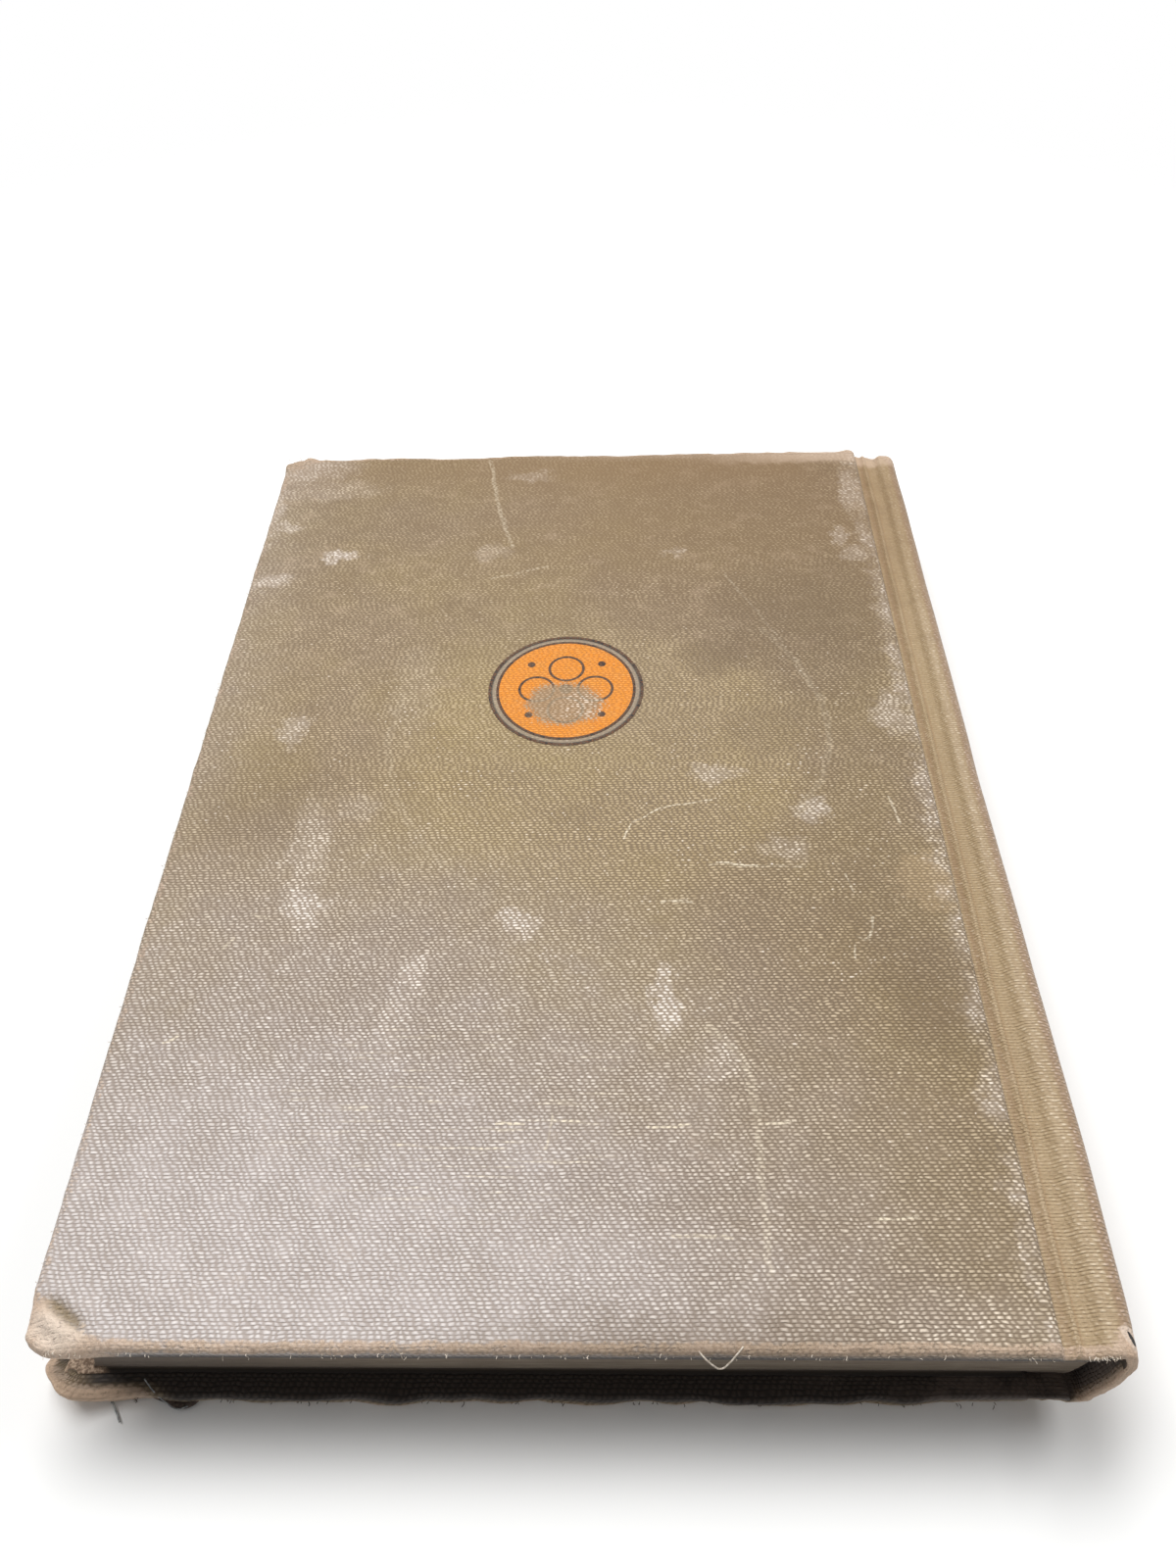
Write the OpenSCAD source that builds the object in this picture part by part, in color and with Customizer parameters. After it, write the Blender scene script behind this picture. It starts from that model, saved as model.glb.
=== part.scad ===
// Cloth-bound hardback book, closed and lying on its front cover.
// The spine is towards +X and the head towards +Y. The origin is under
// the middle of the book, on the surface that it lies on.

/* [Book] */
// Height of the covers, from tail to head
cover_l = 184; // [150:1:230]
// Width of a cover, from the fore-edge to the joint
cover_w = 123.4; // [95:0.1:160]
// Thickness of the closed book over both covers
book_t = 20; // [16:0.5:36]

/* [Boards and cloth] */
// Thickness of a cover board
board_t = 1.7; // [1.2:0.1:2.4]
// Thickness of the book cloth
cloth_t = 0.4; // [0.3:0.05:0.6]
// Rounding of a cover's edges on its outer face
edge_r = 0.9; // [0.5:0.1:1.3]
// Radius of the worn fore-edge corners of the back cover
back_corner_r = 3.5; // [1:0.5:8]
// Radius of the worn fore-edge corners of the front cover
front_corner_r = 5; // [1:0.5:8]
// Radius of the covers' corners at the joint
joint_corner_r = 0.8; // [0.5:0.1:1.5]
// Width of the cloth turned in round the boards and the spine
turn_in = 14; // [8:1:20]
// Width of the cut between two turn-ins at a corner
mitre_gap = 0.15; // [0.1:0.05:0.3]

/* [Endpapers] */
// Thickness of the endpapers
paper_t = 0.2; // [0.15:0.05:0.3]
// Border of cloth left round a pastedown
paste_inset = 2.5; // [1:0.5:6]
// Gap between a pastedown and the leaf that it lies on
page_gap = 0.2; // [0.15:0.05:0.4]

/* [Leaves] */
// Distance that the covers stand out past the leaves
square_w = 3; // [1.5:0.5:5]
// Depth of the hollow of the fore-edge
fore_round = 1.6; // [0:0.1:4]
// Radius of the rounded back of the leaves
back_r = 20; // [14:1:40]
// Rounding of the two shoulders of the back
shoulder_r = 0.9; // [0.3:0.1:1.5]
// Width over which the leaves rise to a shoulder
flare_w = 0.6; // [0.4:0.1:1.2]
// Number of sewn sections that show as ribs on the back
sections = 12; // [8:1:16]
// Height of the rib that each section makes on the back
section_rib = 0.12; // [0.05:0.01:0.2]

/* [Joint] */
// Gap between a cover and the joint cloth
joint_gap = 0.3; // [0.2:0.05:0.5]
// Width of the whole joint, from the cover to the spine
joint_w = 5.2; // [4.5:0.1:8]
// Width of the narrow groove beside the cover
groove_w = 1.2; // [1:0.1:1.6]
// Depth of that groove below the cover's face
groove_depth = 1.4; // [0.9:0.1:1.7]
// Width of the crease between the two hollows of the joint
crease_w = 1.2; // [0.8:0.1:1.6]
// Height of that crease
crease_rise = 0.5; // [0.1:0.1:0.7]
// Depth of the shallow hollow beside the spine
valley_depth = 1.1; // [0.6:0.1:1.2]
// Width over which the cloth rises from there to the spine
rise_w = 1.5; // [1:0.1:2]

/* [Spine] */
// Width of the spine past the joint
spine_w = 4.7; // [4:0.1:7]
// Radius of the rounded spine
spine_r = 23; // [18:1:60]
// Rounding between the spine and its two shoulders
spine_corner_r = 2.2; // [1.9:0.1:3]
// Distance that the spine stays below the covers' faces
spine_drop = 0.1; // [0.05:0.05:0.4]
// Length by which the worn spine stops short at the head
head_short = 1.8; // [0:0.1:3]
// Thickness of the card strip inside the spine cloth
inlay_t = 0.6; // [0.4:0.1:0.8]
// Hollow between the spine and the lined back of the leaves
hollow_gap = 0.8; // [0.4:0.1:2]
// Thickness of the open-weave lining glued to the back
mull_t = 0.3; // [0.2:0.05:0.4]
// Length by which that lining stops short at each end
mull_inset = 8; // [4:1:20]
// Thickness of the paper glued over the open-weave lining
lining_t = 0.3; // [0.2:0.05:0.5]
// Length by which that paper stops short at each end
lining_inset = 1; // [0:0.5:4]

/* [Roundel] */
// Distance of the roundel's centre from the fore-edge
roundel_x = 62.8; // [40:0.1:80]
// Distance of the roundel's centre from the tail
roundel_y = 111; // [60:1:140]
// Outer radius of the outer ring
ring_r = 13.8; // [11:0.1:18]
// Width of the line of each ring
ring_line = 0.5; // [0.3:0.05:0.8]
// Outer radius of the inner ring, at the edge of the field
field_r = 12.4; // [10:0.1:13]
// Distance from the roundel's centre to the centre of each petal
petal_reach = 5.2; // [5:0.1:6]
// Outer radius of each petal's line
petal_r = 3.3; // [2:0.1:3.4]
// Width of the petals' line
petal_line = 0.5; // [0.3:0.05:0.8]
// Radius of the dot in the centre
eye_r = 1.2; // [0.6:0.1:1.5]
// Radius of the four small dots between the petals
dot_r = 0.7; // [0.4:0.1:1]
// Distance of those dots from the centre
dot_reach = 9; // [8:0.1:9.5]
// Depth to which the roundel is pressed into the cloth
print_t = 0.12; // [0.08:0.01:0.2]

/* [Hidden] */
$fn = 96;

// Levels of a cover, counted inwards from its outer face
board_in = cloth_t + board_t;
cloth_in = board_in + cloth_t;
cover_in = cloth_in + paper_t;

// Thickness of the spine where its cloth is turned in over the card
folded_t = 2 * cloth_t + inlay_t;

// Places across the book
book_w = cover_w + joint_w + spine_w;
x_left = -book_w / 2;
x_joint = x_left + cover_w;
x_out = x_left + book_w;
mid = book_t / 2;

// The leaves with their two flyleaves
x_fore = x_left + square_w;
leaf_l = cover_l - 2 * square_w;
core_half = mid - cover_in - page_gap;
shoulder_half = mid - groove_depth - cloth_t - mull_t;
flare_x = x_joint + joint_gap / 2;
x_back = x_out - folded_t - hollow_gap - lining_t - mull_t;

// The spine
spine_half = mid - spine_drop;
spine_head = cover_l / 2 - head_short;
spine_tail = -cover_l / 2;

// Number of straight steps in the rounded parts of an outline
corner_steps = 8;
arc_steps = 32;
joint_steps = 28;
flare_steps = 5;
fore_steps = 16;
margin = 1;

function smooth(t) = let (c = max(0, min(1, t))) c * c * (3 - 2 * c);
function bump(t) = abs(t) < 1 ? (1 + cos(180 * t)) / 2 : 0;
function reverse(p) = [for (i = [len(p) - 1 : -1 : 0]) p[i]];
function flip(p) = [for (q = reverse(p)) [q[0], -q[1]]];
function arc(c, r, a0, a1, n) =
    [for (i = [0 : n]) let (a = a0 + (a1 - a0) * i / n) c + r * [cos(a), sin(a)]];
function corner(c, r, a0) = r < 0.01 ? [c] : arc(c, r, a0, a0 + 90, corner_steps);

// A path moved sideways by d, to its left as it runs
function left_of(p, i) =
    let (a = p[max(i - 1, 0)], b = p[min(i + 1, len(p) - 1)], v = b - a) [-v[1], v[0]] / norm(v);
function beside(p, d) = [for (i = [0 : len(p) - 1]) p[i] + d * left_of(p, i)];

// Where a corner of radius r meets a back of radius big_r, for a back
// that reaches out to x and is 2 * half thick
function corner_x(x, big_r, half, r) =
    x - big_r + sqrt(pow(big_r - r, 2) - pow(half - r, 2));
function meet_angle(x, big_r, half, r) =
    atan2(half - r, corner_x(x, big_r, half, r) - (x - big_r));
function round_corner(x, big_r, half, r) =
    arc([corner_x(x, big_r, half, r), half - r], r, 90, meet_angle(x, big_r, half, r), corner_steps);

// A rounded back from its upper to its lower shoulder
function round_back(x, big_r, half, r) =
    let (
        a = meet_angle(x, big_r, half, r),
        upper = round_corner(x, big_r, half, r),
        back = arc([x - big_r, 0], big_r, a, -a, arc_steps)
    )
    concat(upper, [for (i = [1 : arc_steps - 1]) back[i]], flip(upper));

// Depth of the joint cloth below the covers' faces, u from the cover
function joint_depth(u) =
    let (
        floor_d = groove_depth
            + (valley_depth - groove_depth) * smooth((u - groove_w) / crease_w)
            - crease_rise * bump(2 * (u - groove_w) / crease_w - 1),
        up = smooth((u - joint_w + rise_w) / rise_w)
    )
    floor_d * (1 - up) + spine_drop * up;

// Outlines in the plane across the book, x and height from its middle
leaf_top = concat(
    [[x_fore, core_half]],
    [for (i = [0 : flare_steps]) let (t = i / flare_steps)
        [flare_x + flare_w * t, core_half + (shoulder_half - core_half) * smooth(t)]]
);
leaf_back = round_back(x_back, back_r, shoulder_half, shoulder_r);
fore_edge = [for (i = [1 : fore_steps - 1]) let (h = core_half * (2 * i / fore_steps - 1))
    [x_fore + fore_round * (1 - pow(h / core_half, 2)), h]];
leaf_outline = concat(leaf_top, leaf_back, flip(leaf_top), fore_edge);
flyleaf_path = concat(leaf_top, [leaf_back[0]]);
mull_top = [for (i = [1 : len(leaf_top) - 1]) leaf_top[i]];
mull_path = concat(mull_top, leaf_back, flip(mull_top));
joint_path = [for (i = [0 : joint_steps])
    let (u = joint_gap + (joint_w - joint_gap) * i / joint_steps) [x_joint + u, mid - joint_depth(u)]];
spine_path = round_back(x_out, spine_r, spine_half, spine_corner_r);
folded_outline = concat(
    joint_path, spine_path, flip(joint_path),
    [for (q = joint_path) [q[0], cloth_t - q[1]]],
    reverse(beside(spine_path, -folded_t)),
    [for (q = reverse(joint_path)) [q[0], q[1] - cloth_t]]
);

// Runs a flat outline along the book from y0 to y1, at the book's middle height
module along(y0, y1) {
    translate([0, y1, mid])
        rotate([90, 0, 0])
            linear_extrude(y1 - y0)
                children();
}

// The strip between two paths beside p
module strip(p, d0, d1) {
    polygon(concat(beside(p, d0), reverse(beside(p, d1))));
}

// A rounded plate outline between x0 and x1 and between the depths z0 and z1
function plate(x0, x1, z0, z1, r_out, r_in) = concat(
    corner([x0 + r_out, z0 + r_out], r_out, 180),
    corner([x1 - r_out, z0 + r_out], r_out, 270),
    corner([x1 - r_in, z1 - r_in], r_in, 0),
    corner([x0 + r_in, z1 - r_in], r_in, 90)
);
function plan(inset, r_fore, r_joint) =
    let (x0 = inset, x1 = cover_w - inset, y = cover_l / 2 - inset) concat(
        corner([x0 + r_fore, -y + r_fore], r_fore, 180),
        corner([x1 - r_joint, -y + r_joint], r_joint, 270),
        corner([x1 - r_joint, y - r_joint], r_joint, 0),
        corner([x0 + r_fore, y - r_fore], r_fore, 90)
    );

// Puts a cover that is drawn with its depth along +Z on its side of the book
module on_back() {
    translate([x_left, 0, book_t])
        mirror([0, 0, 1])
            children();
}
module on_front() {
    translate([x_left, 0, 0])
        children();
}

// A plate of the cover's outline with rounded edges, inset all round
module cover_plate(inset, z0, z1, r_fore, r_out, r_in) {
    half_l = cover_l / 2 - inset;
    intersection() {
        translate([0, cover_l / 2, 0])
            rotate([90, 0, 0])
                linear_extrude(cover_l)
                    polygon(plate(inset, cover_w - inset, z0, z1, r_out, r_in));
        rotate([90, 0, 90])
            linear_extrude(cover_w)
                polygon(plate(-half_l, half_l, z0, z1, r_out, r_in));
        linear_extrude(z1 + margin)
            polygon(plan(inset, r_fore - inset, joint_corner_r - inset));
    }
}

module board(r_fore) {
    cover_plate(cloth_t, cloth_t, board_in, r_fore, edge_r - cloth_t, 0);
}

// Space inside the turn-ins, open towards the joint
module turn_in_window(inset, z0) {
    half_l = cover_l / 2 - turn_in - inset;
    translate([turn_in + inset, -half_l, z0])
        cube([cover_w, 2 * half_l, cloth_in]);
}

// Cuts between the turn-ins of the two fore-edge corners
module mitres() {
    for (side = [-1, 1])
        translate([0, side * cover_l / 2, cloth_in - cloth_t / 2])
            rotate([0, 0, -side * 45])
                translate([0, -mitre_gap / 2, 0])
                    cube([turn_in * sqrt(2), mitre_gap, cloth_t]);
}

module cloth_over_board(r_fore) {
    difference() {
        cover_plate(0, 0, cloth_in, r_fore, edge_r, cloth_t / 2);
        board(r_fore);
        turn_in_window(0, board_in);
        mitres();
    }
}

// Paper pasted over the board and the turn-ins, stepped at their edges
module pastedown() {
    half_l = cover_l / 2 - paste_inset;
    difference() {
        union() {
            translate([paste_inset, -half_l, cloth_in])
                cube([cover_w - paste_inset - cloth_t, 2 * half_l, paper_t]);
            intersection() {
                turn_in_window(0, board_in);
                translate([0, -half_l, 0])
                    cube([cover_w - cloth_t, 2 * half_l, cover_in]);
            }
        }
        turn_in_window(paper_t, board_in + paper_t);
    }
}

// The leaves, sewn in sections and glued at the back
module text_block() {
    color("wheat")
        along(-leaf_l / 2, leaf_l / 2)
            difference() {
                polygon(leaf_outline);
                strip(flyleaf_path, 0, -paper_t);
                mirror([0, 1])
                    strip(flyleaf_path, 0, -paper_t);
                section_grooves();
            }
}

// The folds of neighbouring sections part in a small groove at the back
module section_grooves() {
    a = meet_angle(x_back, back_r, shoulder_half, shoulder_r);
    for (i = [1 : sections - 1])
        translate([x_back - back_r, 0])
            rotate(a * (2 * i / sections - 1))
                polygon([[back_r - section_rib, 0], [back_r + margin, -margin], [back_r + margin, margin]]);
}

module flyleaf() {
    along(-leaf_l / 2, leaf_l / 2)
        strip(flyleaf_path, 0, -paper_t);
}

module back_flyleaf() {
    color("antiquewhite")
        flyleaf();
}

module front_flyleaf() {
    color("antiquewhite")
        translate([0, 0, book_t])
            mirror([0, 0, 1])
                flyleaf();
}

// Open-weave cloth glued round the back and over both shoulders
module mull() {
    color("lightgray")
        along(-leaf_l / 2 + mull_inset, leaf_l / 2 - mull_inset)
            strip(mull_path, 0, mull_t);
}

// Paper over the open-weave lining, on the back only
module spine_lining() {
    color("tan")
        along(-leaf_l / 2 + lining_inset, leaf_l / 2 - lining_inset)
            strip(leaf_back, mull_t, mull_t + lining_t);
}

// Card strip that stiffens the spine, inside the cloth
module spine_inlay() {
    color("burlywood")
        along(spine_tail + cloth_t, spine_head - cloth_t)
            strip(spine_path, -cloth_t, -cloth_t - inlay_t);
}

// Cloth of the two joints and the spine, turned in at head and tail
module spine_cloth() {
    color("darkkhaki")
        difference() {
            along(spine_tail, spine_head)
                polygon(folded_outline);
            along(spine_tail + cloth_t, spine_head - cloth_t)
                strip(spine_path, -cloth_t, -cloth_t - inlay_t);
            along(spine_tail + turn_in, spine_head - turn_in)
                strip(spine_path, -cloth_t, -folded_t - margin / 2);
        }
}

module back_board() {
    color("peru")
        on_back()
            board(back_corner_r);
}

module back_cloth() {
    color("darkkhaki")
        on_back()
            difference() {
                cloth_over_board(back_corner_r);
                at_roundel()
                    cylinder(r = ring_r, h = print_t);
            }
}

module back_pastedown() {
    color("antiquewhite")
        on_back()
            pastedown();
}

module at_roundel() {
    translate([roundel_x, roundel_y - cover_l / 2, 0])
        children();
}

// Four petals as fine lines round a dot, with a small dot between each pair
module ornament_outline() {
    circle(r = eye_r);
    for (i = [0 : 3])
        rotate(90 * i) {
            translate([petal_reach, 0])
                petal();
            rotate(45)
                translate([dot_reach, 0])
                    circle(r = dot_r);
        }
}

module petal() {
    difference() {
        circle(r = petal_r);
        circle(r = petal_r - petal_line);
    }
}

module ring_outline(r) {
    difference() {
        circle(r = r);
        circle(r = r - ring_line);
    }
}

// Orange field inside the inner ring, with the figure left out of it
module roundel_field() {
    color("darkorange")
        on_back()
            at_roundel()
                linear_extrude(print_t)
                    difference() {
                        circle(r = field_r - ring_line);
                        ornament_outline();
                    }
}

module roundel_rings() {
    color("dimgray")
        on_back()
            at_roundel()
                linear_extrude(print_t) {
                    ring_outline(ring_r);
                    ring_outline(field_r);
                }
}

module roundel_ornament() {
    color("dimgray")
        on_back()
            at_roundel()
                linear_extrude(print_t)
                    ornament_outline();
}

module front_board() {
    color("peru")
        on_front()
            board(front_corner_r);
}

module front_cloth() {
    color("darkkhaki")
        on_front()
            cloth_over_board(front_corner_r);
}

module front_pastedown() {
    color("antiquewhite")
        on_front()
            pastedown();
}

text_block();
front_flyleaf();
back_flyleaf();
mull();
spine_lining();
spine_inlay();
spine_cloth();
back_board();
back_cloth();
back_pastedown();
roundel_field();
roundel_rings();
roundel_ornament();
front_board();
front_cloth();
front_pastedown();
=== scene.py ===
"""An old cloth-bound hardback book on its front cover: its looks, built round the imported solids.

Lengths are in millimetres, except where a name ends in _m. Pieces are scaled to metres when they
are finished. In the paints, across and along are measured from the cover's fore-edge and tail, and
u from its joint edge.
"""

import math
import random

import bmesh
import bpy
from mathutils import Matrix, Vector, noise


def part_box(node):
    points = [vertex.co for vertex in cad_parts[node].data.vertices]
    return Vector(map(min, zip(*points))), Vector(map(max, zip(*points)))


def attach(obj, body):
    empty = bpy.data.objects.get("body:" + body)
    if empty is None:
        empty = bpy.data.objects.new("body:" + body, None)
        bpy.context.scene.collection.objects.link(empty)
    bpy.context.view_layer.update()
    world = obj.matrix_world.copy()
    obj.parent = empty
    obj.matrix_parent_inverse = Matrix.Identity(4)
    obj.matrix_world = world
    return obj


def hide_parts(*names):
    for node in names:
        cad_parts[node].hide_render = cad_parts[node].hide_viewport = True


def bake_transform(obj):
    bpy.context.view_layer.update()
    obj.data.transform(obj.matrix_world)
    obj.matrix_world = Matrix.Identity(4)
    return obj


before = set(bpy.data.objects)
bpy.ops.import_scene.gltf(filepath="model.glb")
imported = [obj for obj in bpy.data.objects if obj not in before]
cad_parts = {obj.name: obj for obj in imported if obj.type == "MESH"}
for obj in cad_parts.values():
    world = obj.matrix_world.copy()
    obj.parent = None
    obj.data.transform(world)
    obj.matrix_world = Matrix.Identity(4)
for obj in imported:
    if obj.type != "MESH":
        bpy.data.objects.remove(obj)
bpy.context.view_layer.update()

MM = 0.001
# The unevenness of worn cloth comes out the same each run
noise.seed_set(5)


def box_mm(node):
    """Lowest and highest corner of a solid of the frame."""
    low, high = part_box(node)
    return Vector(low) / MM, Vector(high) / MM


# Places that the solids give
back_low, back_high = box_mm("back_cloth")
spine_high = box_mm("spine_cloth")[1]
leaf_low, leaf_high = box_mm("text_block")
field_low, field_high = box_mm("roundel_field")

fore_x = back_low.x
joint_x = back_high.x
tail_y = back_low.y
head_y = back_high.y
top_z = back_high.z
mid_z = top_z / 2
mid_y = (tail_y + head_y) / 2
leaf_half = (leaf_high.y - leaf_low.y) / 2
spine_x = spine_high.x
spine_head_y = spine_high.y
cover_t = back_high.z - back_low.z
print_centre = (field_low + field_high) / 2

# Sizes of the binding, as in the part's source
CLOTH_T = 0.4
PAPER_T = 0.2
EDGE_R = 0.9
INNER_R = 0.3
BACK_CORNER_R = 3.5
FRONT_CORNER_R = 5.0
TURN_IN = 14.0
GROOVE_W = 1.2
GROOVE_DEPTH = 1.4
CREASE_W = 1.2
CREASE_RISE = 0.5
VALLEY_DEPTH = 1.1
JOINT_W = 5.2
RISE_W = 1.5
SPINE_DROP = 0.1
SPINE_R = 23.0
SPINE_CORNER_R = 2.2
FOLDED_T = 1.4
# How far down the cover's joint edge its cloth goes before the joint's piece takes over
EDGE_DROP = 1.0
# Distance from the cover at which the joint's piece meets the spine's, and how far they lap
SPINE_START = 2.4
LAP = 0.3
# How far the joint's and the spine's cloth is turned in, unrolled
JOINT_ROLL = 6.4
SPINE_ROLL = 11.0
# Where a crease crosses the back cover's tail corner, from the corner and square to the crease
CREASE_AT = 6.3
CREASE_SLANT = (0.552, 0.834)
# Outer radius of the print's outer ring
RING_R = 13.8
# How deep the stamp has pressed the cloth
PRINT_BED = 0.06
# Half the table's side, where it begins to dip beside the spine, and the width of the dip's slope
FLOOR_HALF = 900.0
FLOOR_DIP = (50.5, 130.0)
# Where a small hole is worn through the spine, from the cover and from the tail
SPINE_HOLE = (7.6, 2.1)


def smooth(t):
    t = min(max(t, 0.0), 1.0)
    return t * t * (3 - 2 * t)


def srgb(red, green, blue):
    """A colour as it looks on a screen, from 0 to 255, as the linear colour a shader takes."""
    def linear(c):
        c /= 255
        return c / 12.92 if c <= 0.04045 else ((c + 0.055) / 1.055) ** 2.4
    return (linear(red), linear(green), linear(blue), 1.0)


def placed(name, data):
    """A new object in the scene."""
    thing = bpy.data.objects.new(name, data)
    bpy.context.collection.objects.link(thing)
    return thing


def worked_out(thing):
    """The mesh of an object with its modifiers, or of its curve."""
    bpy.context.view_layer.update()
    depsgraph = bpy.context.evaluated_depsgraph_get()
    return bpy.data.meshes.new_from_object(thing.evaluated_get(depsgraph))


# Camera and light

def camera_at_photo():
    """The photograph's viewpoint: from close above the tail edge, looking down at the cover."""
    focal_px, frame_h_px = 1226.0, 1600.0
    pitch, roll, yaw = math.radians(48.70), math.radians(-2.45), math.radians(-2.56)
    # Place of the lens from the fore-edge and tail corner of the upper cover
    from_corner = Vector((72.87, -42.5, 149.2))
    place = Vector((fore_x, tail_y, top_z)) + from_corner
    level = Vector((math.cos(yaw), -math.sin(yaw), 0.0))
    flat = math.cos(pitch)
    ahead = Vector((math.sin(yaw) * flat, math.cos(yaw) * flat, -math.sin(pitch)))
    above = level.cross(ahead)
    right = math.cos(roll) * level + math.sin(roll) * above
    up = math.cos(roll) * above - math.sin(roll) * level
    data = bpy.data.cameras.new("camera")
    data.sensor_fit = "VERTICAL"
    data.sensor_height = 36.0
    data.lens = focal_px / frame_h_px * data.sensor_height
    data.clip_start = 0.005
    camera = placed("camera", data)
    turn = Matrix((right, up, -ahead)).transposed().to_4x4()
    camera.matrix_world = Matrix.Translation(place * MM) @ turn
    bpy.context.scene.camera = camera


def lamp(name, place_m, target_m, size_m, power):
    """A soft rectangular lamp that faces its target."""
    data = bpy.data.lights.new(name, "AREA")
    data.shape = "RECTANGLE"
    data.size, data.size_y = size_m
    data.energy = power
    thing = placed(name, data)
    thing.location = place_m
    thing.rotation_euler = (Vector(target_m) - thing.location).to_track_quat("-Z", "Y").to_euler()


class Field:
    """A value that varies over a surface. Sums and products add the nodes that work them out."""

    def __init__(self, paint, socket):
        self.paint = paint
        self.socket = socket

    def math(self, operation, *others):
        return self.paint.node("Math", {"operation": operation}, dict(enumerate((self,) + others)))

    def __add__(self, other):
        return self.math("ADD", other)

    def __mul__(self, other):
        return self.math("MULTIPLY", other)

    def __sub__(self, other):
        return self.math("SUBTRACT", other)

    def __truediv__(self, other):
        return self.math("DIVIDE", other)

    def __rsub__(self, other):
        return self.paint.node("Math", {"operation": "SUBTRACT"}, {0: other, 1: self})

    __radd__ = __add__
    __rmul__ = __mul__

    def ramp(self, low, high):
        """0 below low, 1 above high, smooth between. low may be above high."""
        sockets = {"Value": self, "From Min": low, "From Max": high}
        return self.paint.node("MapRange", {"interpolation_type": "SMOOTHSTEP"}, sockets)

    def clamp(self):
        return self.paint.node("Clamp", {}, {0: self})


class Paint:
    """The nodes of one material, or of the world if its owner is given."""

    def __init__(self, name, owner=None):
        self.material = owner or bpy.data.materials.new(name)
        self.material.use_nodes = True
        self.tree = self.material.node_tree
        self.tree.nodes.clear()

    def node(self, kind, settings, sockets, out=0):
        made = self.tree.nodes.new("ShaderNode" + kind)
        for key, value in settings.items():
            setattr(made, key, value)
        for key, value in sockets.items():
            if isinstance(value, Field):
                self.tree.links.new(made.inputs[key], value.socket)
            else:
                made.inputs[key].default_value = value
        return Field(self, made.outputs[out]) if len(made.outputs) else None

    def object_mm(self):
        """Place on the piece, in millimetres."""
        place = self.node("TexCoord", {}, {}, out="Object")
        return self.node("VectorMath", {"operation": "SCALE"}, {0: place, "Scale": 1 / MM})

    def stored(self, layer):
        """The three values that a piece's vertices carry in a layer."""
        return self.split(self.node("Attribute", {"attribute_name": layer}, {}, out="Vector"))

    def split(self, vector):
        return [self.node("SeparateXYZ", {}, {0: vector}, out=i) for i in range(3)]

    def join(self, x, y, z):
        return self.node("CombineXYZ", {}, {0: x, 1: y, 2: z})

    def noise(self, vector, scale, detail=2.0, roughness=0.5):
        """Noise about 0 to 1 whose lumps are about 1/scale millimetres across."""
        sockets = {"Vector": vector, "Scale": scale, "Detail": detail, "Roughness": roughness}
        return self.node("TexNoise", {}, sockets)

    def drift(self, x, y, z, *grain):
        """Noise at the place x, y, z."""
        return self.noise(self.join(x, y, z), *grain)

    def mix(self, factor, first, second):
        return self.node("Mix", {"data_type": "RGBA"}, {0: factor, 6: first, 7: second}, out=2)

    def lay(self, colour, *layers):
        """Lays tones over a colour, each by its own mask, the last on top."""
        for mask, tone in layers:
            colour = self.mix(mask, colour, tone)
        return colour

    def bump(self, height, depth, normal=None):
        """Relief whose height from 0 to 1 is depth millimetres."""
        sockets = {"Height": height, "Distance": depth * MM, "Strength": 1.0}
        if normal is not None:
            sockets["Normal"] = normal
        return self.node("Bump", {}, sockets)

    def finish(self, colour, roughness, **others):
        """Closes the material. Other sockets' names have an underscore for each space."""
        sockets = {"Base Color": colour, "Roughness": roughness}
        sockets.update({key.replace("_", " "): value for key, value in others.items()})
        shader = self.node("BsdfPrincipled", {}, sockets)
        self.node("OutputMaterial", {}, {"Surface": shader})
        return self.material


# Where the cover is rubbed, in millimetres from its fore-edge and tail corner:
# centre, half widths across and along, and strength
RUBBED_PATCHES = [
    ((17.0, 149.4), (3.6, 1.7), 0.9),
    ((15.8, 101.5), (2.8, 4.0), 0.6),
    ((23.8, 63.0), (3.6, 4.2), 0.95),
    ((22.5, 75.0), (3.8, 11.0), 0.45),
    ((57.0, 61.0), (3.4, 3.0), 0.8),
    ((42.0, 52.0), (2.8, 4.0), 0.7),
    ((40.0, 43.0), (1.6, 7.0), 0.35),
    ((78.5, 47.0), (2.2, 6.5), 0.9),
    ((86.5, 38.5), (3.2, 3.6), 0.55),
    ((103.5, 82.5), (2.8, 2.6), 0.7),
    ((98.5, 74.5), (3.6, 3.0), 0.4),
    ((88.0, 90.6), (4.6, 2.2), 0.55),
    ((83.5, 149.4), (3.0, 1.3), 0.5),
    ((4.0, 142.0), (4.0, 2.4), 0.6),
    ((4.5, 159.4), (3.6, 1.6), 0.5),
    ((29.0, 84.0), (4.0, 3.0), 0.3),
    ((36.0, 110.0), (5.0, 13.0), 0.16),
    ((54.0, 176.0), (5.0, 2.2), 0.5),
    ((116.5, 154.0), (1.9, 3.6), 0.6),
    ((119.0, 148.0), (3.0, 2.4), 0.45),
    ((119.0, 104.0), (3.6, 6.0), 0.55),
    ((120.6, 170.0), (2.6, 8.5), 0.62),
    ((47.0, 150.0), (4.0, 3.0), 0.3),
    ((4.0, 181.0), (13.0, 7.0), 0.7),
    ((116.0, 2.0), (13.0, 5.0), 0.3),
    ((-0.5, 168.0), (3.4, 17.0), 0.6),
    ((12.0, 172.0), (12.0, 4.0), 0.3),
]
# How much wider they are drawn, because their edges fade out
RUB_SPREAD = 1.2

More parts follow.
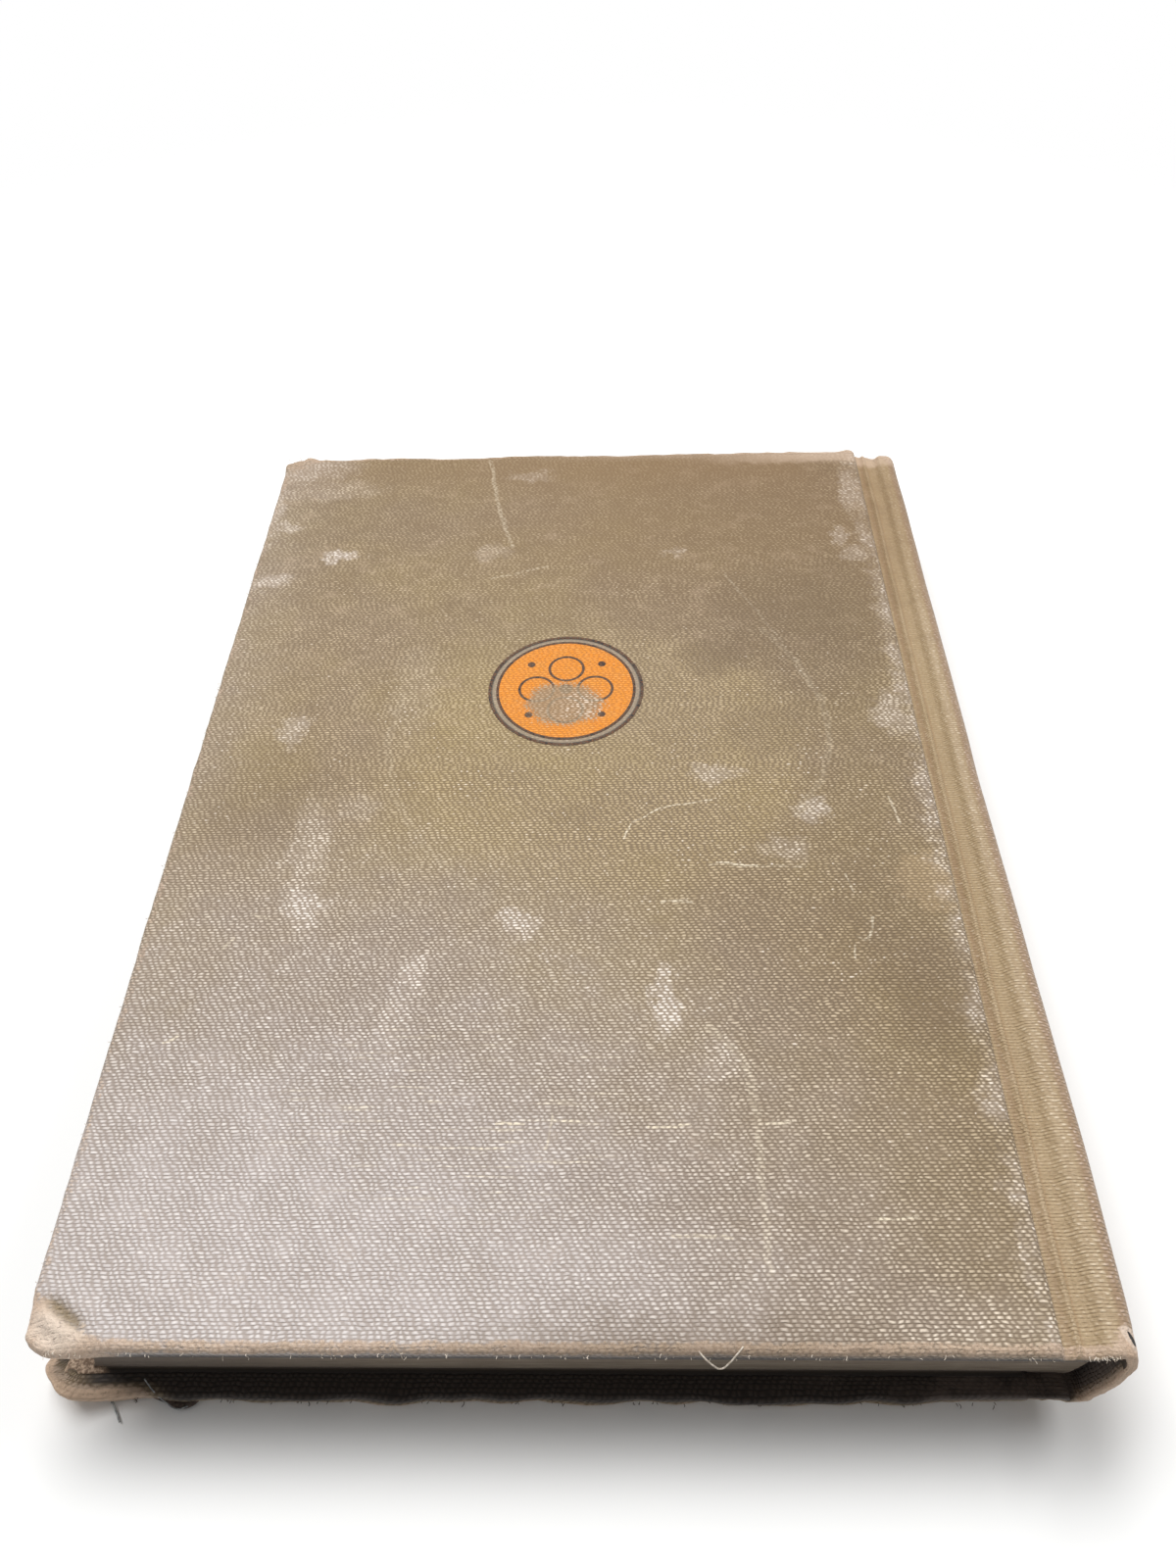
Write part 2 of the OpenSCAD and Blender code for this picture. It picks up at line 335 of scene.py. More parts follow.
# Peaks of frayed cloth at the head: place from the fore-edge and tail corner, width, and reach
HEAD_PEAKS = [(5.0, 184.0, 2.0, 0.9), (0.3, 180.6, 2.0, 0.8), (121.8, 184.0, 1.8, 0.5)]

# Scratches: the points that each runs through, its half width and its strength
SCRATCHES = [
    ([(44.8, 182.0), (47.3, 166.0), (51.0, 152.0)], 0.6, 0.32),
    ([(47.3, 141.9), (58.5, 145.6)], 0.35, 0.3),
    ([(72.9, 76.9), (74.1, 80.0), (78.5, 83.1), (87.3, 85.0)], 0.17, 0.9),
    ([(92.9, 142.5), (102.3, 122.5)], 0.35, 0.2),
    ([(87.3, 71.9), (93.5, 71.4)], 0.2, 1.0),
    ([(86.0, 71.6), (101.0, 71.0)], 0.3, 0.3),
    ([(78.6, 64.6), (83.0, 64.4)], 0.2, 0.8),
    ([(76.0, 28.1), (81.2, 28.4)], 0.28, 0.9),
    ([(91.0, 28.4), (94.8, 28.9)], 0.26, 0.7),
    ([(104.1, 16.0), (109.2, 16.0)], 0.3, 1.0),
    ([(108.6, 57.6), (109.4, 58.6), (110.0, 61.5)], 0.28, 1.0),
    ([(107.2, 57.8), (109.0, 57.4)], 0.22, 0.9),
    ([(106.5, 54.4), (106.8, 56.6)], 0.22, 0.9),
    ([(107.0, 69.5), (107.6, 66.0)], 0.25, 0.6),
    ([(62.3, 25.0), (62.9, 30.0)], 0.25, 0.6),
    ([(12.9, 56.3), (14.4, 58.3)], 0.26, 0.8),
    ([(8.0, 40.6), (9.8, 41.8)], 0.26, 0.7),
    ([(78.5, 64.4), (82.3, 65.0)], 0.3, 0.6),
    ([(84.5, 43.0), (89.0, 38.0), (90.2, 30.0), (90.0, 9.5)], 0.7, 0.28),
    ([(78.5, 13.6), (85.8, 13.6)], 0.3, 0.6),
    ([(55.6, 28.6), (59.1, 28.6)], 0.3, 0.9),
    ([(99.0, 126.0), (104.0, 118.0), (107.5, 108.0), (108.0, 98.0), (106.0, 90.0), (101.0, 82.0)],
     0.9, 0.16),
    ([(34.0, 110.0), (32.5, 98.0), (35.0, 86.0), (42.0, 74.0), (52.0, 66.0)], 0.9, 0.1),
    ([(116.0, 85.0), (116.8, 79.5)], 0.28, 0.6),
    ([(16.0, 62.6), (19.0, 61.8)], 0.3, 0.5),
]

# Dark smudges: centre, half widths across and along, and depth
SMUDGES = [
    ((90.0, 119.0), (9.0, 6.0), 0.5),
    ((64.0, 82.0), (7.0, 3.5), 0.12),
    ((102.0, 130.0), (15.0, 18.0), 0.34),
    ((112.0, 60.0), (9.0, 18.0), 0.2),
    ((13.0, 86.0), (15.0, 17.0), 0.24),
    ((117.0, 47.0), (9.0, 13.0), 0.35),
    ((114.0, 132.0), (10.0, 22.0), 0.3),
    ((78.0, -1.0), (36.0, 7.0), 0.4),
    ((97.0, 101.0), (9.0, 9.0), 0.28),
]

# Colours of the book cloth, from the bottom of its weave to the bare worn thread
CLOTH_GAP = srgb(120, 101, 77)
CLOTH_GAP_WARM = srgb(128, 107, 74)
CLOTH_THREAD = srgb(163, 142, 114)
CLOTH_WARM = srgb(170, 150, 109)
CLOTH_CLEAN = srgb(182, 160, 114)
CLOTH_SHADE = srgb(124, 102, 76)
CLOTH_TOP = srgb(224, 202, 166)
CLOTH_DEEP = srgb(98, 80, 58)
LILAC_THREAD = srgb(205, 197, 194)
LILAC_GAP = srgb(172, 160, 153)
GREY_GAP = srgb(140, 126, 116)
GREY_THREAD = srgb(184, 172, 164)
GREY_TOP = srgb(240, 234, 230)
RUBBED_GAP = srgb(160, 144, 128)
RUBBED_PALE = srgb(206, 192, 180)
RUBBED_TOP_HIGHLIGHT = srgb(240, 230, 220)
WORN_TAN = srgb(206, 181, 156)
WORN_PINK = srgb(210, 185, 163)
WORN_SHADE = srgb(158, 133, 113)
WORN_PEACH = srgb(222, 190, 162)
STAIN_TAN = srgb(196, 168, 130)
PRINT_SHADE = srgb(140, 86, 40)
WORN_PALE = srgb(226, 206, 188)
WORN_CREAM = srgb(240, 222, 204)
CREASE_SHADE_OLIVE = srgb(128, 110, 78)
JOINT_OLIVE = srgb(186, 163, 124)
JOINT_BROWN_SHADE = srgb(150, 120, 86)
JOINT_RIDGE_HIGHLIGHT = srgb(214, 190, 156)
JOINT_LIGHT = srgb(204, 182, 150)
JOINT_RUST = srgb(172, 144, 118)
JOINT_GAP = srgb(134, 110, 82)
JOINT_TOP = srgb(232, 215, 188)
JOINT_PINK = srgb(232, 208, 194)
SCRATCH_CREAM = srgb(236, 222, 196)
HEAD_BROWN = srgb(132, 103, 68)
SCUFFED = srgb(196, 172, 146)
# Painted shade of the turned-in side and the edges' side faces, and the dust over it
SHADED_INSIDE_GAP = srgb(30, 24, 22)
SHADED_INSIDE_THREAD = srgb(54, 45, 40)
INSIDE_DUST = srgb(104, 90, 82)
RING_GREY = srgb(150, 136, 121)
BLED_INK = srgb(46, 46, 46)
HOLE_SHADE = srgb(26, 21, 18)

# Lattice of the weave: the floats of a row repeat, and the next row steps aside by a third
FLOAT_PITCH = 0.952
ROW_PITCH = 0.488
# Distance between the cross threads that show on the joint
RUNG_PITCH = 0.4


def weave(paint, across, along):
    """The woven threads: their height from 0 in the gaps to 1, glint, and each row's ridge."""
    sway = paint.drift(across, along, 0.0, 0.4, 3.0) - 0.5
    slip = paint.drift(across, along, 7.0, 0.6, 2.0) - 0.5
    row = (along + sway * 0.55) / ROW_PITCH
    row_number = row.math("FLOOR")
    in_row = row.math("FRACT")
    shift = paint.node("TexWhiteNoise", {"noise_dimensions": "1D"}, {"W": row_number})
    loose = along.ramp(30.0, 110.0) * 0.34 + 0.14
    step = (across + slip * 1.6) / FLOAT_PITCH + row_number / 3.0 + shift * loose
    step_number = step.math("FLOOR")
    along_float = step.math("FRACT")
    cell = paint.join(step_number, row_number, 0.0)
    chance = paint.node("TexWhiteNoise", {"noise_dimensions": "2D"}, {0: cell})
    rounded = in_row * 2.0 - 1.0
    ridge = 1 - rounded * rounded
    crown = (along_float - 0.5).math("ABSOLUTE").ramp(0.44, 0.02)
    glint = ridge.ramp(0.3, 1.0) * crown * (chance * 1.3)
    height = ridge.ramp(-0.2, 1.0) * (0.25 + crown * 0.75)
    return height, glint, ridge


def blob(across, along, centre, half):
    """A soft oval spot, 1 in its middle and 0 at its edge."""
    dx = (across - centre[0]) / half[0]
    dy = (along - centre[1]) / half[1]
    return (dx * dx + dy * dy).ramp(1.0, 0.0)


def stroke(across, along, start, end, half_w):
    """A line from start to end, 1 in its middle and 0 at half_w from it."""
    ax, ay = start
    bx, by = end[0] - ax, end[1] - ay
    length2 = bx * bx + by * by
    px = across - ax
    py = along - ay
    t = ((px * bx + py * by) / length2).clamp()
    gap_x = px - t * bx
    gap_y = py - t * by
    return (gap_x * gap_x + gap_y * gap_y).ramp(half_w * half_w, 0.0)


def largest(fields):
    total = fields[0]
    for field in fields[1:]:
        total = total.math("MAXIMUM", field)
    return total


def bell(u, centre, half):
    """1 at the centre, 0 at half from it on either side."""
    return (u - centre).math("ABSOLUTE").ramp(half, 0.0)


def cloth_paint(name, marked):
    """Coarse book cloth. Only the back cover carries the marks that the photograph shows."""
    paint = Paint(name)
    across, along, edge = paint.stored("cloth")
    u, turned, crease = paint.stored("fold")
    height, glint, ridge = weave(paint, across, along)
    place = paint.join(across, along, 0.0 if marked else 40.0)
    patchy = paint.noise(place, 0.14, 4.0, 0.62)
    # The nap lies smoother towards the head, and in patches towards the tail
    nap = along.ramp(50.0, 172.0) * 0.62 + patchy.ramp(0.42, 0.62) * along.ramp(84.0, 24.0) * 0.34
    height = height * (1 - nap) + nap * 0.42
    glint = glint * (1 - nap * 0.45)
    cloud = paint.noise(place, 0.03, 3.0, 0.55)
    speck = paint.noise(place, 1.1, 3.0, 0.7)
    fibre = paint.noise(place, 4.0, 2.0, 0.6)
    fluff = paint.noise(place, 1.9, 4.0, 0.75)
    streaky = paint.drift(across * 0.35, along, 3.0, 0.5, 3.0, 0.6)
    wander, stray = [
        paint.drift(across, along, seed, 0.33, 4.0, 0.65) - 0.5 for seed in (11.0, 23.0)]

    # Ground colour, with cloudy drifts of tone
    warmer = cloud.ramp(0.36, 0.66)
    deep = paint.mix(warmer, CLOTH_GAP, CLOTH_GAP_WARM)
    dull = patchy.ramp(0.45, 0.75) * 0.5
    thread = paint.lay(CLOTH_THREAD, (warmer, CLOTH_WARM), (dull, CLOTH_SHADE))
    # Grey towards the fore-edge and the tail, partly bleaching and partly a painted sheen, and a
    # disc round the print that stayed cleaner
    if marked:
        near = blob(across, along, (14.0, -22.0), (128.0, 116.0))
        bloom_and_sheen = near.math("MAXIMUM", across.ramp(18.0, -6.0) * 0.3) * (0.55 + patchy * 0.9)
        clean = blob(across, along, (70.0, 96.0), (40.0, 36.0)).ramp(0.0, 0.45)
        # Painted shade: the cloth darkens towards the head and the joint
        shade_falloff = along.ramp(60.0, 190.0) * 0.5 + across.ramp(50.0, 116.0) * 0.42
        shade_falloff *= 1 - clean * 0.55
        thread = paint.lay(thread, (shade_falloff, CLOTH_SHADE), (clean * 0.4, CLOTH_CLEAN))
        deep = paint.mix(shade_falloff, deep, CLOTH_DEEP)
    else:
        bloom_and_sheen = cloud.ramp(0.45, 0.8) * 0.7
    bloom_and_sheen = bloom_and_sheen.clamp()
    bloom_and_sheen_tones = (deep, GREY_GAP), (thread, GREY_THREAD), (CLOTH_TOP, GREY_TOP)
    deep, thread, tops = [paint.mix(bloom_and_sheen, *tones) for tones in bloom_and_sheen_tones]
    if marked:
        # A pale lilac-grey patch near the fore-edge and tail corner: partly bleached cloth, partly
        # a painted sheen
        pale = blob(across, along, (18.0, -12.0), (84.0, 60.0))
        thread = paint.mix((pale * (0.6 + patchy * 0.8)).clamp(), thread, LILAC_THREAD)
        deep = paint.mix(pale * (0.35 + patchy * 0.8), deep, LILAC_GAP)
        tops = paint.mix(pale * 0.5, tops, LILAC_THREAD)
    colour = paint.mix((height + (fibre - 0.5) * 0.35).ramp(0.08, 0.75), deep, thread)

    # Rubbed places, where the tops of the threads are bare, and the threads' tops lightened by
    # their glint: partly pale fibre, partly painted highlight
    if marked:
        ragged = across + wander * 9.0, along + stray * 9.0
        rubs = [
            blob(*ragged, centre, (wide * RUB_SPREAD, long * RUB_SPREAD)) * strength
            for centre, (wide, long), strength in RUBBED_PATCHES]
        wider = along.ramp(150.0, 180.0) * 0.7
        strip = (u + wander * 9.0 + patchy * 4.0 + wider - 1.6).ramp(-3.6, -0.2) * u.ramp(0.6, 0.1)
        rubs.append(strip * (0.15 + speck) * (patchy.ramp(0.36, 0.6) * 0.7 + 0.25))
        head_band = along.ramp(180.5, 184.0) * across.ramp(40.0, 120.0) * u.ramp(0.5, -0.5)
        rubs.append(head_band * 0.8)
        rubbed = largest(rubs)
    else:
        rubbed = cloud.ramp(0.6, 0.85) * patchy.ramp(0.5, 0.7)
    rubbed = (rubbed * (0.45 + speck * 1.1)).clamp()
    # Painted highlight on the threads' tops, stronger where rubbed and in the grey sheen
    shine = 0.4 + bloom_and_sheen * 0.28 + rubbed * 1.35 + (streaky - 0.5) * 0.9
    sparks = glint.ramp(0.75, 1.1) * (speck + patchy - 1.0).ramp(0.02, 0.2)
    colour = paint.lay(
        colour,
        (rubbed * (nap * 0.5 + 0.46), paint.mix(height, RUBBED_GAP, RUBBED_PALE)),
        ((glint * shine).clamp(), paint.mix(rubbed, tops, RUBBED_TOP_HIGHLIGHT)),
        (sparks * 0.8, RUBBED_TOP_HIGHLIGHT))

    # Lengthwise bands of the joint and the spine, with painted shade in the groove and a painted
    # highlight on the ridge beside it
    lines = paint.drift(u * 3.0, along * 0.12, 5.0, 1.0, 2.0, 0.5)
    band = paint.lay(
        JOINT_OLIVE,
        (bell(u + (lines - 0.5) * 0.8, 1.0, 0.7) * 0.9, JOINT_BROWN_SHADE),
        (bell(u, 1.75, 0.5) * patchy.ramp(0.4, 0.62) * 0.5, JOINT_RIDGE_HIGHLIGHT),
        (bell(u, 5.6, 1.1) * (patchy + 0.3) * along.ramp(178.0, 110.0), JOINT_LIGHT),
        (along.ramp(70.0, 5.0) * 0.4, JOINT_LIGHT),
        (u.ramp(6.1, 6.9), JOINT_RUST),
        (u.ramp(6.6, 8.6) * (0.1 + patchy * 0.9), WORN_PINK),
        (lines.ramp(0.35, 0.75) * 0.3, JOINT_BROWN_SHADE))
    rung = (along * (2 * math.pi / RUNG_PITCH) + (wander + patchy) * 2.6).math("SINE") * 0.5 + 0.5
    ladder = rung * 0.36 + ridge.ramp(0.05, 0.75) * 0.28 + (fluff - 0.25) * 0.7
    catch = 0.05 + bell(u, 5.8, 1.8) * 0.5 + u.ramp(6.1, 7.4) * 0.45 + patchy * 0.25
    tips = paint.mix(u.ramp(6.1, 7.0), JOINT_TOP, JOINT_PINK)
    # Painted highlights on the joint's thread tops, pinker towards the spine's edge
    lit = glint * fluff.ramp(0.3, 0.6) * catch
    weft = paint.lay(JOINT_GAP, (ladder.clamp(), band), (lit, tips))
    # Painted shade: a thin dark line where the joint's piece meets the spine's
    seam_shade = bell(u, SPINE_START, 0.3)
    colour = paint.lay(colour, (u.ramp(0.0, 0.4) * 0.9, weft), (seam_shade * 0.5, JOINT_BROWN_SHADE))

    # Bare fibre along the edges and on the corners, where the colour is gone
    worn = edge + (patchy - 0.5) * 0.9 + (speck - 0.5) * 1.3 + (glint - 0.4) * 0.25
    bare = worn.ramp(0.42, 0.85)
    fibre_tone = paint.lay(
        WORN_TAN,
        (patchy.ramp(0.4, 0.62), WORN_PINK),
        (fluff.ramp(0.52, 0.32) * 0.75, WORN_SHADE),
        (fluff.ramp(0.56, 0.7) * 0.6, WORN_PALE),
        (height.ramp(0.5, 0.1) * 0.4, WORN_SHADE),
        (edge.ramp(0.9, 1.0) * fluff.ramp(0.3, 0.55) * 0.55, WORN_PEACH))
    colour = paint.mix(bare * 0.88, colour, fibre_tone)

    if marked:
        scuffed = paint.drift(across * 0.8, along * 1.1, 31.0, 0.24, 5.0, 0.68)
        half_way = [loose * 0.3 + plain * 0.7 for loose, plain in zip(ragged, (across, along))]
        cream = blob(*half_way, (4.4, 2.6), (5.6, 3.6))
        warm = along.ramp(110.0, 168.0) * across.ramp(10.0, 80.0) * 0.36
        warm += along.ramp(164.0, 182.0) * across.ramp(119.0, 108.0) * 0.28
        corner_band = across.ramp(82.0, 116.0) * (along + stray * 4.0).ramp(178.6, 181.2)
        pink = (head_band * (patchy + 0.1)).math("MAXIMUM", corner_band * (speck * 0.5 + 0.55))
        colour = paint.lay(
            colour,
            (scuffed.ramp(0.52, 0.32) * nap * 0.5, CLOTH_SHADE),
            (scuffed.ramp(0.52, 0.72) * nap * 0.4, SCUFFED),
            (cream * bare * (0.5 + fluff * 0.6), WORN_CREAM),
            (warm, HEAD_BROWN),
            (pink.clamp() * 0.6, WORN_PINK))
    # Painted shade along the crease across the back cover's tail corner
    colour = paint.mix(crease * (0.6 + speck * 0.5), colour, CREASE_SHADE_OLIVE)

    if marked:
        fields = (across, along, u), ragged, (wander, stray), (height, glint, speck)
        colour = single_marks(paint, colour, *fields)

    # Painted shade: the turned-in side and the edges' side faces are near black, with patches of
    # lighter dust towards the joint
    dusty = patchy.ramp(0.42, 0.7) * across.ramp(84.0, 112.0)
    inside = paint.lay(
        SHADED_INSIDE_GAP, (height.ramp(0.1, 0.8), SHADED_INSIDE_THREAD), (dusty * 0.6, INSIDE_DUST))
    colour = paint.mix(turned * 0.97, colour, inside)

    relief = height * (1.0 - bare * 0.5) + fibre * 0.3 + fluff * bare * 2.2
    normal = paint.bump(patchy, 0.35, paint.bump(relief, 0.11))
    return paint.finish(
        colour, 0.66 + bare * 0.2 - glint * 0.16, Normal=normal,
        Sheen_Weight=0.12, Sheen_Roughness=0.5, Specular_IOR_Level=0.4)


def single_marks(paint, colour, place, ragged, sway, cloth):
    """Scratches, the stain, the smudges, the pressed ring round the print, and the spine's hole."""
    across, along, u = place
    wander, stray = sway
    height, glint, speck = cloth
    strokes = []
    for points, half_w, strength in SCRATCHES:
        for start, end in zip(points, points[1:]):
            line = stroke(across + wander * 1.4, along + stray * 1.4, start, end, half_w)
            strokes.append(line * strength)
    scratched = largest(strokes) * (speck + glint * 0.8).ramp(0.34, 0.8)
    hatch = paint.drift(across * 0.1, along * 1.6, 9.0, 1.0, 2.0, 0.5).ramp(0.58, 0.68)
    hatched = blob(*ragged, (52.0, 32.0), (34.0, 20.0)) * hatch
    stain = blob(*ragged, (119.0, 68.0), (5.6, 7.0)).ramp(0.05, 0.6)
    shade = paint.mix(height, CLOTH_DEEP, CLOTH_SHADE)
    smudges = [(blob(*ragged, centre, half) * depth, shade) for centre, half, depth in SMUDGES]

    # Cloth pressed and greyed between the print's two rings, and ink bled into it
    dx, dy = across - (print_centre.x - fore_x), along - (print_centre.y - tail_y)
    from_print = (dx * dx + dy * dy).math("SQRT")
    pressed = (from_print - (RING_R - 0.9)).math("ABSOLUTE").ramp(0.9, 0.5)
    bled = (from_print - (RING_R - 0.5)).math("ABSOLUTE").ramp(0.34, 0.12)
    bled = bled * (speck + height * 0.5).ramp(0.4, 0.65)

    # The small hole worn through the spine, painted dark as the shade inside it, with its lifted
    # pale rim
    above = paint.split(paint.object_mm())[2].ramp(mid_z, mid_z + 1.0)
    slit = (u + (along - SPINE_HOLE[1]) * 0.45 + wander * 0.8, along + stray * 0.8)
    rim = blob(*slit, SPINE_HOLE, (1.2, 1.7)).ramp(0.05, 0.5) * above
    gap = blob(*slit, SPINE_HOLE, (0.42, 0.95)).ramp(0.1, 0.5) * above
    return paint.lay(
        colour,
        (scratched, SCRATCH_CREAM),
        (hatched * (glint + speck * 0.4) * 0.8, SCRATCH_CREAM),
        (stain * (height * 0.25 + 0.12), STAIN_TAN),
        *smudges,
        (pressed * 0.6, paint.mix(height, RING_GREY, RUBBED_GAP)),
        (bled * 0.75, BLED_INK),
        (rim * 0.7, WORN_PALE),
        (gap, HOLE_SHADE))


# Cloth pieces

# Distances past the start of an edge's rounding, from there round the board to the turn-in's end
ROLL_STEPS = [
    0.0, 0.25, 0.5, 0.8, 1.1, 1.414, 1.8, 2.2, 2.6, 2.9, 3.2, 3.6, 4.4, 6.3, 8.0, 11.0, 16.2]
# Distances inwards from there, before the even steps of the cover's face
EDGE_STEPS = [0.45 * (i + 1) for i in range(16)]
FACE_STEP = 1.6


def roll(w):
    """Where the cloth is w past the start of an edge's rounding: outwards, and below the face."""
    bend = math.pi / 2 * EDGE_R
    side = cover_t - EDGE_R - INNER_R
    inner_bend = math.pi / 2 * INNER_R
    if w <= 0:
        return w, 0.0
    if w < bend:
        return EDGE_R * math.sin(w / EDGE_R), EDGE_R * (1 - math.cos(w / EDGE_R))
    w -= bend
    if w < side:
        return EDGE_R, EDGE_R + w
    w -= side
    if w < inner_bend:
        a = w / INNER_R
        return EDGE_R - INNER_R * (1 - math.cos(a)), cover_t - INNER_R * (1 - math.sin(a))
    w -= inner_bend
    return EDGE_R - INNER_R - w, cover_t


def spaced(low, high, step):
    """Even places from low to high, both included."""
    count = max(1, round((high - low) / step))
    return [low + (high - low) * i / count for i in range(count + 1)]


def rows_along(last_roll):
    """Places along the book, unrolled, from the tail's turn-in to the head's."""
    rolls = [w for w in ROLL_STEPS if w <= last_roll]
    tail = tail_y + EDGE_R
    head = head_y - EDGE_R
    inner = spaced(tail + EDGE_STEPS[-1], head - EDGE_STEPS[-1], FACE_STEP)
    low = [tail - w for w in reversed(rolls)] + [tail + s for s in EDGE_STEPS[:-1]]
    high = [head - s for s in reversed(EDGE_STEPS[:-1])] + [head + w for w in rolls]
    return low + inner + high


def nearest(places, t):
    """The one of some places that t stands for: -1 is the first and 1 the last."""
    return places[round((t + 1) / 2 * (len(places) - 1))]


def grid(columns, rows):
    """A flat grid with its layers for the paints, and each vertex with its column and row."""
    bm = bmesh.new()
    layers = bm.verts.layers.float_vector
    names = "cloth", "fold"
    for name in names:
        layers.new(name)
    bmesh.ops.create_grid(bm, x_segments=len(columns) - 1, y_segments=len(rows) - 1, size=1.0)
    cells = [(v, nearest(columns, v.co.x), nearest(rows, v.co.y)) for v in bm.verts]
    return bm, [layers[name] for name in names], cells


def shake(place, size, seed):
    """A small steady unevenness, as a vector of about length 1."""
    return noise.noise_vector(Vector(place) / size + Vector((seed, seed * 1.7, seed * 0.3)))


def finish_piece(bm, name, materials, thickness=0.0):
    """Makes the object, in metres, with a wall if it has a thickness."""
    bmesh.ops.scale(bm, vec=(MM, MM, MM), verts=bm.verts)
    mesh = bpy.data.meshes.new(name)
    for f in bm.faces:
        f.smooth = True
    bm.to_mesh(mesh)
    bm.free()
    for material in materials:
        mesh.materials.append(material)
    piece = placed(name, mesh)
    if thickness:
        wall = piece.modifiers.new("wall", "SOLIDIFY")
        wall.thickness = thickness * MM
        wall.offset = -1.0
        wall.use_even_offset = False
        shape = worked_out(piece)
        piece.modifiers.clear()
        piece.data = shape
        bpy.data.meshes.remove(mesh)
    return piece


def corner_wear(x, y):
    """From 1 on a fore-edge corner to 0 away from it, wider at the head than at the tail."""
    at_head = smooth(1.15 - math.hypot(x - fore_x, y - head_y) / 9.0)
    at_tail = smooth((8.2 - from_tail_corner(x, y)) / 3.2)
    return max(at_head, at_tail)


def from_tail_corner(x, y):
    """Distance from the fore-edge corner at the tail, square to the crease that crosses it."""
    return (x - fore_x) * CREASE_SLANT[0] + (y - tail_y) * CREASE_SLANT[1]


def in_crease(x, y):
    """1 in the middle of the crease's length, where it is sharp, and 0 at the edges."""
    beside = (x - fore_x) * CREASE_SLANT[1] - (y - tail_y) * CREASE_SLANT[0]
    return smooth(1.5 - abs(beside - 1.6) / 2.8)


def edge_wear(past):
    """Wear of the cloth, past the start of an edge's rounding: only its turn outwards is bare."""
    if past < 0:
        return smooth(1 + past / 1.1) * 0.9
    return 0.9 * smooth((2.4 - past) / 1.6)


def turned_in(past):
    """From 0 on the outside to 1 on the edge's side face and the side that is turned in, where the
    cloth is painted dark as shade.
    """
    return smooth((past - 1.1) / 1.3)


def cover_cloth(name, corner_r, is_back, material):
    """Cloth of one cover, over its board's face and edges and turned in on three sides."""
    start = fore_x + EDGE_R
    face = spaced(start + EDGE_STEPS[-1], joint_x - EDGE_R - EDGE_STEPS[3], FACE_STEP)
    columns = [start - w for w in reversed(ROLL_STEPS)] + [start + s for s in EDGE_STEPS[:-1]]
    joint_start = joint_x - EDGE_R
    columns += face + [joint_start - s for s in reversed(EDGE_STEPS[:3])]
    end_roll = math.pi / 2 * EDGE_R
    columns += [joint_start + w for w in ROLL_STEPS if w <= end_roll + 0.001]
    columns += [joint_start + end_roll + EDGE_DROP - EDGE_R]
    bm, (layer, fold), cells = grid(columns, rows_along(ROLL_STEPS[-1]))
    for v, p, q in cells:
        place, past = cover_place(p, q, corner_r)
        edge = edge_wear(past)
        turned = turned_in(past)
        if past < 3.6:
            corner = corner_wear(place.x, place.y)
            edge = max(edge * (1 - 0.35 * smooth((fore_x + 1.6 - place.x) / 0.6)), corner)
            turned *= 1 - corner
        elif not is_back:
            # The front cover's bent corner is frayed on its inner side too
            tuft = smooth((4.9 - from_tail_corner(place.x, place.y)) / 2.0)
            edge = max(edge, tuft)
            turned *= 1 - tuft
        crease = 0.0
        if past < 1.0 and is_back:
            crease = math.exp(-((CREASE_AT - from_tail_corner(place.x, place.y)) / 0.72) ** 2)
            crease *= in_crease(place.x, place.y)
        v[layer] = (p - fore_x, q - tail_y, edge)
        v[fold] = (min(place.x - joint_x, 0.0), turned, crease)
        place += worn_shape(place, p, edge, is_back) + knocked(place, is_back)
        if not is_back:
            place.z = max(top_z - place.z, 0.0)
        v.co = place
    if not is_back:
        bmesh.ops.reverse_faces(bm, faces=bm.faces)
    bmesh.ops.remove_doubles(bm, verts=bm.verts, dist=0.002)
    bmesh.ops.dissolve_degenerate(bm, edges=bm.edges, dist=0.0005)
    return finish_piece(bm, name, [material], CLOTH_T)


def cover_place(p, q, corner_r):
    """Place of unrolled cloth on the back cover, and how far it is past an edge's rounding."""
    centre_x = max(p, fore_x + corner_r)
    centre_y = min(max(q, tail_y + corner_r), head_y - corner_r)
    dx, dy = p - centre_x, q - centre_y
    reach = max(abs(dx), abs(dy))
    past = reach - (corner_r - EDGE_R)
    if reach == 0:
        past = max(fore_x - p, tail_y - q, q - head_y) + EDGE_R
    out, depth = roll(past)
    x, y = centre_x, centre_y
    inset = 0.0
    if reach > 0:
        radial = corner_r - EDGE_R + out
        inset = corner_r - radial
        if dx and dy:
            radial = max(radial, 0.0)
        length = math.hypot(dx, dy)
        x += dx / length * radial
        y += dy / length * radial
    if depth > EDGE_R:
        x = max(x, fore_x + inset)
        y = min(max(y, tail_y + inset), head_y - inset)
    # The joint side goes over its edge and straight down
    down = 0.0
    over = p - (joint_x - EDGE_R)
    if over > 0:
        angle = min(over / EDGE_R, math.pi / 2)
        down = EDGE_R * (1 - math.cos(angle)) + max(0.0, over - math.pi / 2 * EDGE_R)
        x = joint_x - EDGE_R + EDGE_R * math.sin(angle)
    z = top_z - down - depth * (cover_t - down) / cover_t
    return Vector((x, y, z)), past


